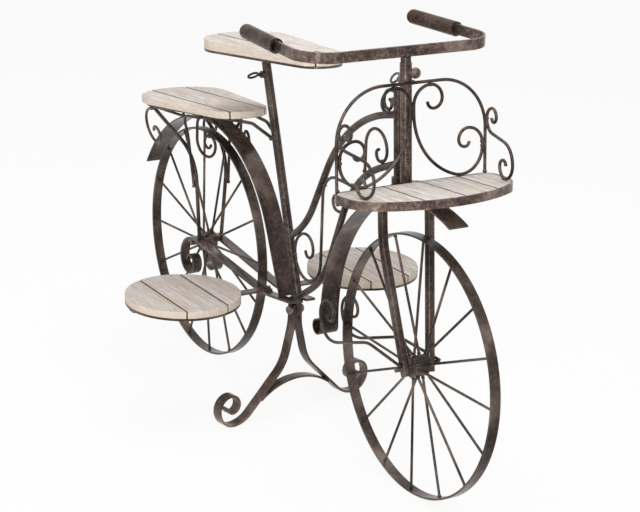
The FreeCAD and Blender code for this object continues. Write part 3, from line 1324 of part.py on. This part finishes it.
seat_board = sheet_in(saddle, X_AXIS, Y_AXIS, Vector(0, 0, size("seat_strip_thickness")))
seat_blank = extruded("seat_blank", pear_face(seat_board, seat_rear, size("seat_rear_radius"),
                                              seat_nose, size("seat_nose_radius")),
                      seat_board.normal, "dims.seat_plank_thickness")
seat_plank_frame = saddle.multiply(Placement(Vector(0, 0, size("seat_strip_thickness")), Rotation()))
for plank in planks("seat_plank_", ["right", "left"], seat_blank, seat_plank_frame,
                    ["-dims.seat_seam_offset"], size("seat_nose_reach") + size("seat_rear_radius"),
                    "dims.seat_plank_thickness"):
    keep(plank, plank.Name)
post_rod = cylinder("seat_post_rod", "dims.seat_post_radius", "dims.seat_post_length + 20",
                    Placement(seat_top - seat_axis * size("seat_post_length"), lean_turn))
above_post = box("above_seat_post", "80", "80", "60",
                 saddle.multiply(Placement(Vector(-40, -40, -GAP), Rotation())))
keep(cut("seat_post", post_rod, above_post), "seat_post")

doc.recompute()
faults = []
for obj in doc.Objects:
    if "Invalid" in obj.State or "Error" in obj.State:
        faults.append("%s is %s" % (obj.Label, obj.State))
for obj in nodes:
    if obj.Shape.isNull() or not obj.Shape.isValid() or not obj.Shape.Solids:
        faults.append("%s has no valid solid" % obj.Label)
if faults:
    raise RuntimeError("; ".join(faults))
os.makedirs("parts", exist_ok=True)
for obj in nodes:
    obj.Shape.exportStep("parts/%s.step" % obj.Label)
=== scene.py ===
import math

import bmesh
import bpy
from mathutils import Matrix, Vector
from mathutils.bvhtree import BVHTree


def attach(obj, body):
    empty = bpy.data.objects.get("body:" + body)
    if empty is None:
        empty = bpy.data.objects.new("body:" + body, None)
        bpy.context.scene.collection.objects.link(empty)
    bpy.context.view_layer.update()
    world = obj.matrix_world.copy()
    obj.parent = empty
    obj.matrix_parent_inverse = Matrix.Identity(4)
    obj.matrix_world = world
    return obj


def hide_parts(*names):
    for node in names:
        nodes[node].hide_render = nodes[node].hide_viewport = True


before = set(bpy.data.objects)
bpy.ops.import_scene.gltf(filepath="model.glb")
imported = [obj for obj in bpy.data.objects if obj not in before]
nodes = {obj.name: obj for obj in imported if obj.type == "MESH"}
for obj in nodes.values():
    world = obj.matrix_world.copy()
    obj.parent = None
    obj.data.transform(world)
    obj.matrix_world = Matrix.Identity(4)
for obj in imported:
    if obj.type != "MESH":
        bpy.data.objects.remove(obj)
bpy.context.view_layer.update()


# Tubes of the frame, the fork and the sliding posts: drawn steel tube, welded
# up, painted dark brown and rubbed back until grey shows through in patches.
def shader_node(tree, kind, inputs=None, **settings):
    """A node in a tree; each input is a value or the output that feeds it."""
    node = tree.nodes.new(kind)
    for name, value in settings.items():
        setattr(node, name, value)
    for name, value in (inputs or {}).items():
        if isinstance(value, bpy.types.NodeSocket):
            tree.links.new(value, node.inputs[name])
        else:
            node.inputs[name].default_value = value
    return node


def blended(tree, amount, first, second):
    """The colour output between two colours."""
    mix = shader_node(tree, "ShaderNodeMix", data_type="RGBA")
    for name, value in (("Factor_Float", amount), ("A_Color", first), ("B_Color", second)):
        socket = next(s for s in mix.inputs if s.identifier == name)
        if isinstance(value, bpy.types.NodeSocket):
            tree.links.new(value, socket)
        else:
            socket.default_value = value
    return next(s for s in mix.outputs if s.identifier == "Result_Color")


def combined(tree, first, second, operation="ADD"):
    """The output of a sum of two values, or of another operation on them."""
    return shader_node(tree, "ShaderNodeMath", {0: first, 1: second}, operation=operation).outputs[0]


def product(tree, first, second):
    """The output of one value times another."""
    return combined(tree, first, second, "MULTIPLY")


def stretched(tree, value, low, high, bottom=0.0, top=1.0):
    """A value whose span from low to high is spread from bottom to top."""
    inputs = {"Value": value, "From Min": low, "From Max": high, "To Min": bottom, "To Max": top}
    return shader_node(tree, "ShaderNodeMapRange", inputs, clamp=True).outputs["Result"]


def effect_group(name, inputs, outputs):
    """An empty node group with its sockets, and its two end nodes."""
    group = bpy.data.node_groups.new(name, "ShaderNodeTree")
    for label, kind in inputs:
        group.interface.new_socket(label, in_out="INPUT", socket_type=kind)
    for label, kind in outputs:
        group.interface.new_socket(label, in_out="OUTPUT", socket_type=kind)
    return group, group.nodes.new("NodeGroupInput"), group.nodes.new("NodeGroupOutput")


rubbed, rub_in, rub_out = effect_group(
    "rubbed_iron",
    (("Offset", "NodeSocketVector"), ("Rub", "NodeSocketFloat"), ("Rust", "NodeSocketFloat"),
     ("Tone", "NodeSocketFloat"), ("Mottle", "NodeSocketFloat")),
    (("Color", "NodeSocketColor"), ("Roughness", "NodeSocketFloat"), ("Height", "NodeSocketFloat")))
iron_place = shader_node(rubbed, "ShaderNodeVectorMath", {
    0: shader_node(rubbed, "ShaderNodeTexCoord").outputs["Object"], 1: rub_in.outputs["Offset"]}).outputs[0]


def iron_noise(scale, detail, roughness):
    """Noise over the iron, in the place that the offset gives it."""
    return shader_node(rubbed, "ShaderNodeTexNoise", {
        "Vector": iron_place, "Scale": scale, "Detail": detail, "Roughness": roughness}).outputs["Fac"]


cloud = iron_noise(scale=10.0, detail=4.0, roughness=0.55)
blotch = iron_noise(scale=130.0, detail=5.0, roughness=0.6)
speck = iron_noise(scale=520.0, detail=3.0, roughness=0.6)
mottling = product(rubbed, combined(rubbed, blotch, cloud, "SUBTRACT"), rub_in.outputs["Mottle"])
patina_ramp = shader_node(rubbed, "ShaderNodeValToRGB", {"Fac": combined(rubbed, cloud, mottling)})
for stop_place, stop_colour in (
        (0.38, (0.022, 0.015, 0.012, 1)),
        (0.48, (0.056, 0.039, 0.031, 1)),
        (0.56, (0.112, 0.082, 0.067, 1)),
        (0.64, (0.190, 0.150, 0.126, 1))):
    patina_ramp.color_ramp.elements.new(stop_place).color = stop_colour
patina_ramp.color_ramp.elements.remove(patina_ramp.color_ramp.elements[0])
patina_ramp.color_ramp.elements.remove(patina_ramp.color_ramp.elements[-1])
rust_brown = (0.150, 0.082, 0.055, 1)
rust_mask = product(rubbed, stretched(rubbed, blotch, 0.48, 0.76), rub_in.outputs["Rust"])
browned = blended(rubbed, rust_mask, patina_ramp.outputs["Color"], rust_brown)
bare_metal = (0.335, 0.272, 0.232, 1)
scuffs = combined(rubbed, product(rubbed, blotch, 0.5), product(rubbed, speck, 0.5))
rub_mask = stretched(rubbed, combined(rubbed, scuffs, rub_in.outputs["Rub"]), 0.55, 0.80)
bared = blended(rubbed, product(rubbed, rub_mask, 0.45), browned, bare_metal)
toned = shader_node(rubbed, "ShaderNodeVectorMath", {0: bared, "Scale": rub_in.outputs["Tone"]},
                    operation="SCALE")
rubbed.links.new(toned.outputs[0], rub_out.inputs["Color"])
rubbed.links.new(stretched(rubbed, rub_mask, 0.0, 1.0, 0.25, 0.2), rub_out.inputs["Roughness"])
rubbed.links.new(scuffs, rub_out.inputs["Height"])


def iron_finish(name, members, offset, rub, rust, tone, mottle, dent):
    """Painted iron worn at its edges, on CAD nodes that keep their shape.

    The offset shifts the pattern. Rub bares metal, rust adds brown, tone
    lightens, mottle adds small spots and dent deepens the unevenness.
    """
    material = bpy.data.materials.new(name)
    material.use_nodes = True
    tree = material.node_tree
    shader = tree.nodes["Principled BSDF"]
    eased = shader_node(tree, "ShaderNodeBevel", {"Radius": 0.0016}, samples=4).outputs["Normal"]
    flat = shader_node(tree, "ShaderNodeNewGeometry").outputs["Normal"]
    meet = shader_node(tree, "ShaderNodeVectorMath", {0: eased, 1: flat}, operation="DOT_PRODUCT")
    edge = stretched(tree, meet.outputs["Value"], 0.99, 0.80, 0.0, 0.2)
    wear = shader_node(tree, "ShaderNodeGroup", node_tree=rubbed)
    wear.inputs["Offset"].default_value = offset
    tree.links.new(combined(tree, edge, rub), wear.inputs["Rub"])
    wear.inputs["Rust"].default_value = rust
    wear.inputs["Tone"].default_value = tone
    wear.inputs["Mottle"].default_value = mottle
    bump = shader_node(tree, "ShaderNodeBump", {
        "Height": wear.outputs["Height"], "Strength": dent, "Distance": 0.0012})
    tree.links.new(wear.outputs["Color"], shader.inputs["Base Color"])
    tree.links.new(wear.outputs["Roughness"], shader.inputs["Roughness"])
    tree.links.new(bump.outputs["Normal"], shader.inputs["Normal"])
    shader.inputs["Metallic"].default_value = 0.35
    shader.inputs["Specular IOR Level"].default_value = 0.22
    for member in members:
        for slot in nodes[member].material_slots:
            slot.material = material
    return material


iron_finish(
    "tube_iron",
    ("head_tube", "seat_tube", "upper_frame_tube", "lower_frame_tube", "steering_collars", "fork_blade_left",
     "fork_blade_right", "seat_post", "handlebar_stem"),
    offset=(0.0, 0.0, 0.0), rub=0.022, rust=0.3, tone=0.7, mottle=0.26, dent=0.14)


# Straps and mudguards: flat bar and strip bent cold. The broad faces are
# smoother than the tubes and keep more of their brown paint.
iron_finish(
    "strap_iron",
    ("chain_stay_left", "chain_stay_right", "rear_mudguard", "front_mudguard", "kickstand_lug",
     "kickstand_leg_left", "kickstand_leg_right", "kickstand_cross_strip", "pedal_shelf_frame_left",
     "pedal_shelf_frame_right", "seat_frame"),
    offset=(0.31, 0.17, 0.05), rub=-0.005, rust=0.15, tone=1.12, mottle=0.08, dent=0.1)


# Scrolls, stays, the gallery and the ring screws: round rod curled over a
# former. It has the tubes' dark paint, but less of it is rubbed off.
rod_iron = iron_finish(
    "rod_iron",
    ("seat_tube_scroll", "frame_scrolls", "carrier_hoop", "carrier_stays", "carrier_struts",
     "carrier_scrolls", "front_guard_stays", "gallery_arch", "gallery_scrolls", "gallery_wings",
     "handlebar_thumbscrew", "seat_thumbscrew"),
    offset=(0.07, 0.41, 0.23), rub=-0.01, rust=0.3, tone=0.7, mottle=0.26, dent=0.14)


# Wheels and axles: a strip rolled into a hoop, sixteen rods and a turned hub.
# They are slightly lighter than the frame, with fewer spots.
iron_finish(
    "wheel_iron",
    ("front_wheel_rim", "front_wheel_hub", "front_wheel_spokes", "rear_wheel_rim", "rear_wheel_hub",
     "rear_wheel_spokes", "front_axle", "rear_axle"),
    offset=(0.53, 0.29, 0.37), rub=-0.01, rust=0.25, tone=0.86, mottle=0.14, dent=0.12)


# Front post, handlebar, shelf band and fittings: the pieces that hands reach
# first, so they are the most rubbed, grey along the edges and brown between.
iron_finish(
    "handled_iron",
    ("front_post", "handlebar_bar", "front_shelf_band", "front_shelf_bearers", "dome_knob", "kickstand_bolt",
     "pedal_shelf_rivets"),
    offset=(0.19, 0.61, 0.11), rub=0.045, rust=0.35, tone=1.42, mottle=0.3, dent=0.18)


# Grips: sheet rolled round the ends of the bar. Hands have kept them a warm
# brown that is duller than the paint elsewhere.
grip_iron = iron_finish(
    "grip_iron", ("grip_left", "grip_right"),
    offset=(0.43, 0.12, 0.67), rub=-0.03, rust=1.0, tone=0.8, mottle=0.12, dent=0.12)
grip_shader = grip_iron.node_tree.nodes["Principled BSDF"]
grip_shader.inputs["Metallic"].default_value = 0.0
grip_shader.inputs["Specular IOR Level"].default_value = 0.06


# Weld beads: each rod and spoke is tacked with a small blob of weld where it
# touches what carries it, on the outside of the carrier, and painted over.
def contact_places(rods, carrier, gap, spacing):
    """Spots where rods lie within a gap of their carrier.

    Each comes as its middle and the direction out of the carrier.
    """
    mesh = nodes[carrier].data
    near = BVHTree.FromPolygons([vert.co for vert in mesh.vertices],
                                [polygon.vertices for polygon in mesh.polygons])
    spots = []
    for vert in nodes[rods].data.vertices:
        if near.find_nearest(vert.co, gap)[0] is None:
            continue
        spot = next((spot for spot in spots if (spot[0] - vert.co).length < spacing), None)
        if spot is None:
            spots.append([vert.co.copy()])
        else:
            spot.append(vert.co.copy())
    middles = [sum(spot, Vector()) / len(spot) for spot in spots]
    return [(middle, near.find_nearest(middle)[1]) for middle in middles]


def weld_beads(name, body, radius, joins):
    """One mesh with a bead at each contact of the joins, rods with their carriers."""
    shape = bmesh.new()
    count = 0
    for rods, carriers in joins:
        for carrier in carriers:
            for middle, outward in contact_places(rods, carrier, gap=0.00045, spacing=0.009):
                count += 1
                bead_radius = radius * (0.9 + 0.06 * (count % 4))
                flattening = 0.8 + 0.1 * (count % 3)
                place = middle + outward * (0.75 * radius)
                bead = bmesh.ops.create_icosphere(shape, subdivisions=2, radius=bead_radius,
                                                  matrix=Matrix.Translation(place))
                bmesh.ops.scale(shape, vec=(1.0, 1.0, flattening), verts=bead["verts"],
                                space=Matrix.Translation(-place))
    for face in shape.faces:
        face.smooth = True
    mesh = bpy.data.meshes.new(name)
    shape.to_mesh(mesh)
    shape.free()
    mesh.materials.append(rod_iron)
    welds = bpy.data.objects.new(name, mesh)
    bpy.context.scene.collection.objects.link(welds)
    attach(welds, body)


weld_beads("frame_welds", "frame", radius=0.0042, joins=(
    ("seat_tube_scroll", ("seat_tube", "upper_frame_tube", "lower_frame_tube")),
    ("frame_scrolls", ("upper_frame_tube", "lower_frame_tube", "head_tube", "seat_tube")),
    ("carrier_hoop", ("seat_tube",)),
    ("carrier_stays", ("carrier_hoop", "chain_stay_left", "chain_stay_right")),
    ("carrier_struts", ("carrier_hoop", "rear_mudguard")),
    ("carrier_scrolls", ("carrier_hoop", "carrier_stays", "rear_mudguard"))))
weld_beads("front_welds", "front", radius=0.0042, joins=(
    ("gallery_arch", ("front_shelf_band", "front_post")),
    ("gallery_scrolls", ("gallery_arch", "front_post")),
    ("gallery_wings", ("gallery_arch", "front_shelf_band")),
    ("front_guard_stays", ("front_mudguard", "front_axle", "fork_blade_left", "fork_blade_right"))))
for wheel in ("front_wheel", "rear_wheel"):
    weld_beads(wheel + "_welds", wheel, radius=0.0036, joins=(
        (wheel + "_spokes", (wheel + "_rim", wheel + "_hub")),))


# Planks: sawn softwood, whitewashed and sanded back so that grain, saw marks
# and ochre and grey stains show through, with tan wood bared at the sides.
washed, wash_in, wash_out = effect_group(
    "whitewashed_grain",
    (("Place", "NodeSocketVector"), ("Side", "NodeSocketFloat"), ("Worn", "NodeSocketFloat")),
    (("Color", "NodeSocketColor"), ("Roughness", "NodeSocketFloat"), ("Height", "NodeSocketFloat")))
wash_worn = wash_in.outputs["Worn"]


def grain_noise(scale, detail, distortion, along, across):
    """Noise drawn out along the plank."""
    drawn = shader_node(washed, "ShaderNodeMapping", {
        "Vector": wash_in.outputs["Place"], "Scale": (along, across, across)})
    return shader_node(washed, "ShaderNodeTexNoise", {
        "Vector": drawn.outputs[0], "Scale": scale, "Detail": detail, "Roughness": 0.62,
        "Distortion": distortion}).outputs["Fac"]


def wear_mask(value, low, high, strength):
    """Where a value passes from low to high, stronger on a plank that is more worn."""
    return product(washed, stretched(washed, value, low, high), product(washed, wash_worn, strength))


streak = grain_noise(scale=7.0, detail=5.0, distortion=0.3, along=0.3, across=24.0)
fibre = grain_noise(scale=12.0, detail=3.0, distortion=0.1, along=0.45, across=30.0)
patch = grain_noise(scale=9.0, detail=4.0, distortion=0.6, along=0.8, across=1.6)
stain = grain_noise(scale=22.0, detail=3.0, distortion=0.4, along=0.7, across=1.4)
saw_mark = grain_noise(scale=30.0, detail=2.0, distortion=0.2, along=0.9, across=10.0)
knot_place = shader_node(washed, "ShaderNodeMapping", {
    "Vector": wash_in.outputs["Place"], "Scale": (0.55, 1.0, 0.3)})
knot_cell = shader_node(washed, "ShaderNodeTexVoronoi", {"Vector": knot_place.outputs[0], "Scale": 12.0})
knot_draw = shader_node(washed, "ShaderNodeSeparateColor", {"Color": knot_cell.outputs["Color"]})
knot = product(washed, stretched(washed, knot_cell.outputs["Distance"], 0.09, 0.045),
               stretched(washed, knot_draw.outputs["Red"], 0.66, 0.70))
wash_colour = blended(washed, stretched(washed, patch, 0.34, 0.66),
                      (0.67, 0.60, 0.54, 1), (0.79, 0.75, 0.71, 1))
for layer_mask, layer_colour in (
        (stretched(washed, wash_worn, 1.0, 1.1, 0.0, 0.45), (0.42, 0.37, 0.335, 1)),
        (wear_mask(stain, 0.50, 0.58, strength=0.42), (0.55, 0.42, 0.31, 1)),
        (stretched(washed, stain, 0.48, 0.41, 0.0, 0.5), (0.57, 0.54, 0.53, 1)),
        (wear_mask(saw_mark, 0.54, 0.61, strength=0.6), (0.36, 0.31, 0.275, 1)),
        (wear_mask(streak, 0.52, 0.66, strength=0.7), (0.42, 0.335, 0.285, 1)),
        (wear_mask(fibre, 0.54, 0.63, strength=0.72), (0.33, 0.285, 0.255, 1)),
        (product(washed, knot, 0.8), (0.19, 0.125, 0.09, 1)),
        (product(washed, wash_in.outputs["Side"], 0.55), (0.72, 0.60, 0.47, 1))):
    wash_colour = blended(washed, layer_mask, wash_colour, layer_colour)
washed.links.new(wash_colour, wash_out.inputs["Color"])
washed.links.new(stretched(washed, patch, 0.3, 0.7, 0.66, 0.82), wash_out.inputs["Roughness"])
furrows = combined(washed, product(washed, streak, 0.45), product(washed, fibre, 0.4))
wash_height = combined(washed, furrows, product(washed, knot, 0.15), "SUBTRACT")
washed.links.new(wash_height, wash_out.inputs["Height"])

# Seam sides: a dark brown that is painted shade in the gaps between planks, with some dirt.
seam_shade_and_dirt = bpy.data.materials.new("seam_shade_and_dirt")
seam_shade_and_dirt.use_nodes = True
seam_tree = seam_shade_and_dirt.node_tree
seam_shader = seam_tree.nodes["Principled BSDF"]
seam_noise = shader_node(seam_tree, "ShaderNodeTexNoise", {
    "Vector": shader_node(seam_tree, "ShaderNodeTexCoord").outputs["Object"], "Scale": 60.0, "Detail": 4.0})
seam_colour = blended(seam_tree, seam_noise.outputs["Fac"],
                      (0.060, 0.042, 0.033, 1), (0.160, 0.115, 0.088, 1))
seam_tree.links.new(seam_colour, seam_shader.inputs["Base Color"])
seam_shader.inputs["Roughness"].default_value = 0.9


def washed_plank(node, body, number, lean, worn, seams):
    """Stands for a plank: its CAD shape with the arrises sanded round.

    The number varies the wash. The lean is the board's slope, and the sides
    that meet the next plank, at the seams' Y places, are painted dark: painted shade in the gaps, with some
    dirt.
    """
    arris_angle = math.radians(40)
    arris_rounding = 0.0019
    crease_angle = math.radians(32)
    seam_reach = 0.003

    shape = bmesh.new()
    shape.from_mesh(nodes[node].data)
    bmesh.ops.remove_doubles(shape, verts=shape.verts, dist=0.00001)
    bmesh.ops.dissolve_limit(shape, angle_limit=math.radians(0.6), verts=shape.verts, edges=shape.edges)
    arrises = [edge for edge in shape.edges
               if len(edge.link_faces) == 2 and edge.calc_face_angle() > arris_angle]
    bmesh.ops.bevel(shape, geom=arrises, offset=arris_rounding, offset_type="OFFSET", affect="EDGES",
                    segments=3, profile=0.5, material=-1, clamp_overlap=False)
    bmesh.ops.triangulate(shape, faces=[face for face in shape.faces if len(face.verts) > 4])
    for face in shape.faces:
        face.smooth = True
        # Plank sides near a seam get the dark seam material: painted shade in the gap, with some dirt.
        inner = abs(face.normal.y) > 0.5 and abs(face.normal.x) < 0.3
        from_seam = min(abs(face.calc_center_median().y - seam) for seam in seams)
        face.material_index = 1 if inner and from_seam < seam_reach else 0
    for edge in shape.edges:
        edge.smooth = len(edge.link_faces) == 2 and edge.calc_face_angle() < crease_angle
    mesh = bpy.data.meshes.new(node + "_washed")
    shape.to_mesh(mesh)
    shape.free()
    plank = bpy.data.objects.new(node + "_washed", mesh)
    bpy.context.scene.collection.objects.link(plank)

    material = bpy.data.materials.new(node + "_whitewash")
    material.use_nodes = True
    tree = material.node_tree
    shader = tree.nodes["Principled BSDF"]
    where = shader_node(tree, "ShaderNodeTexCoord")
    laid = shader_node(tree, "ShaderNodeMapping", {
        "Vector": where.outputs["Object"], "Rotation": (0, lean, math.radians((number * 37) % 5 - 2)),
        "Location": (number * 0.731, number * 0.417, number * 0.253)})
    up = shader_node(tree, "ShaderNodeVectorMath", {
        0: where.outputs["Normal"], 1: (-math.sin(lean), 0, math.cos(lean))}, operation="DOT_PRODUCT")
    wash = shader_node(tree, "ShaderNodeGroup", node_tree=washed)
    tree.links.new(laid.outputs[0], wash.inputs["Place"])
    tree.links.new(stretched(tree, up.outputs["Value"], 0.85, 0.15), wash.inputs["Side"])
    wash.inputs["Worn"].default_value = worn * (0.85 + 0.09 * (number * 7 % 5))
    bump = shader_node(tree, "ShaderNodeBump", {
        "Height": wash.outputs["Height"], "Strength": 0.5, "Distance": 0.0015})
    tree.links.new(wash.outputs["Color"], shader.inputs["Base Color"])
    tree.links.new(wash.outputs["Roughness"], shader.inputs["Roughness"])
    tree.links.new(bump.outputs["Normal"], shader.inputs["Normal"])
    mesh.materials.append(material)
    mesh.materials.append(seam_shade_and_dirt)
    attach(plank, body)
    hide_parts(node)


# Each board: its body, its slope in degrees, its wear, its seams and planks.
plank_number = 0
for board_body, board_slope, board_wear, board_seams, board_planks in (
        ("frame", 5.5, 0.85, (-0.040, 0.040),
         ("rear_board_plank_left", "rear_board_plank_middle", "rear_board_plank_right")),
        ("frame", 0.0, 1.3, (0.1635, 0.2525), ("pedal_shelf_planks_left",)),
        ("frame", 0.0, 1.3, (-0.2525, -0.1635), ("pedal_shelf_planks_right",)),
        ("front", 4.7, 0.85, (-0.062, 0.0185, 0.099),
         ("front_shelf_plank_left", "front_shelf_plank_middle", "front_shelf_plank_middle_right",
          "front_shelf_plank_right")),
        ("seat", 5.0, 0.85, (-0.027,), ("seat_plank_left", "seat_plank_right"))):
    for plank_node in board_planks:
        plank_number += 1
        washed_plank(plank_node, board_body, plank_number, math.radians(board_slope), board_wear, board_seams)


# Studio: a pale floor under the stand, which keeps its shadow, and a white
# background for the camera and for what the iron mirrors.
def seen_directly(tree):
    """One where the camera looks, also by way of a mirror or glass, else nought."""
    path = shader_node(tree, "ShaderNodeLightPath")
    seen = combined(tree, path.outputs["Is Camera Ray"], path.outputs["Is Glossy Ray"], "MAXIMUM")
    return combined(tree, seen, path.outputs["Is Transmission Ray"], "MAXIMUM")


floor_drop = 0.0003
floor_shape = bmesh.new()
bmesh.ops.create_grid(floor_shape, x_segments=1, y_segments=1, size=12.0,
                      matrix=Matrix.Translation((0, 0, -floor_drop)))
floor_mesh = bpy.data.meshes.new("studio_floor")
floor_shape.to_mesh(floor_mesh)
floor_shape.free()
floor = bpy.data.objects.new("studio_floor", floor_mesh)
bpy.context.scene.collection.objects.link(floor)
floor_paint = bpy.data.materials.new("studio_floor")
floor_paint.use_nodes = True
floor_tree = floor_paint.node_tree
floor_shader = floor_tree.nodes["Principled BSDF"]
floor_shader.inputs["Base Color"].default_value = (0.86, 0.86, 0.86, 1)
floor_shader.inputs["Roughness"].default_value = 0.9
floor_glow = shader_node(floor_tree, "ShaderNodeEmission", {"Color": (1, 1, 1, 1), "Strength": 1.0})
floor_mix = shader_node(floor_tree, "ShaderNodeMixShader", {
    0: product(floor_tree, seen_directly(floor_tree), 0.9), 1: floor_shader.outputs["BSDF"],
    2: floor_glow.outputs[0]})
floor_tree.links.new(floor_mix.outputs[0], floor_tree.nodes["Material Output"].inputs["Surface"])
floor_mesh.materials.append(floor_paint)

world = bpy.data.worlds.new("studio")
bpy.context.scene.world = world
world.use_nodes = True
sky = world.node_tree
sky_light = sky.nodes["Background"]
sky_light.inputs["Color"].default_value = (1.0, 1.0, 1.0, 1)
sky_light.inputs["Strength"].default_value = 0.4
sky_white = shader_node(sky, "ShaderNodeBackground", {"Color": (1, 1, 1, 1), "Strength": 1.0})
sky_mix = shader_node(sky, "ShaderNodeMixShader", {
    0: seen_directly(sky), 1: sky_light.outputs[0], 2: sky_white.outputs[0]})
sky.links.new(sky_mix.outputs[0], sky.nodes["World Output"].inputs["Surface"])

# Lamps: three soft boxes and a low narrow strip, which draws the streaks along
# the iron. Each has its place, its width and height, and its power in watts.
lamp_target = Vector((0.0, 0.0, 0.4))
for lamp_name, lamp_place, lamp_width, lamp_height, lamp_power in (
        ("softbox_front", (3.6, -1.4, 2.9), 1.6, 1.6, 66.0),
        ("softbox_left", (0.6, -3.6, 2.4), 2.2, 2.2, 38.0),
        ("softbox_top", (-0.3, 0.2, 3.4), 2.6, 2.6, 54.0),
        ("strip_low", (3.3, -2.7, 0.7), 0.35, 1.3, 34.0)):
    lamp = bpy.data.lights.new(lamp_name, "AREA")
    lamp.shape = "RECTANGLE"
    lamp.size = lamp_width
    lamp.size_y = lamp_height
    lamp.energy = lamp_power
    lamp_object = bpy.data.objects.new(lamp_name, lamp)
    bpy.context.scene.collection.objects.link(lamp_object)
    lamp_turn = (lamp_target - Vector(lamp_place)).to_track_quat("-Z", "Y")
    lamp_object.matrix_world = Matrix.Translation(lamp_place) @ lamp_turn.to_matrix().to_4x4()

# Camera: where the photograph was taken from, found from the ellipses of the
# two wheels, with its slight roll.
camera_data = bpy.data.cameras.new("camera")
camera_data.sensor_width = 36.0
camera_data.lens = 114.96
camera_data.clip_end = 60.0
camera = bpy.data.objects.new("camera", camera_data)
bpy.context.scene.collection.objects.link(camera)
camera_place = (3.2744, -1.9490, 1.5805)
azimuth = math.radians(58.793)
rise = math.radians(18.12)
roll = math.radians(1.89)
back = Vector((math.sin(azimuth) * math.cos(rise), -math.cos(azimuth) * math.cos(rise), math.sin(rise)))
right = Vector((math.cos(azimuth), math.sin(azimuth), 0.0))
upward = back.cross(right)
tilted_right = right * math.cos(roll) + upward * math.sin(roll)
tilted_up = upward * math.cos(roll) - right * math.sin(roll)
camera_turn = Matrix((tilted_right, tilted_up, back)).transposed()
camera.matrix_world = Matrix.Translation(camera_place) @ camera_turn.to_4x4()
bpy.context.scene.camera = camera
bpy.context.scene.view_settings.view_transform = "Standard"
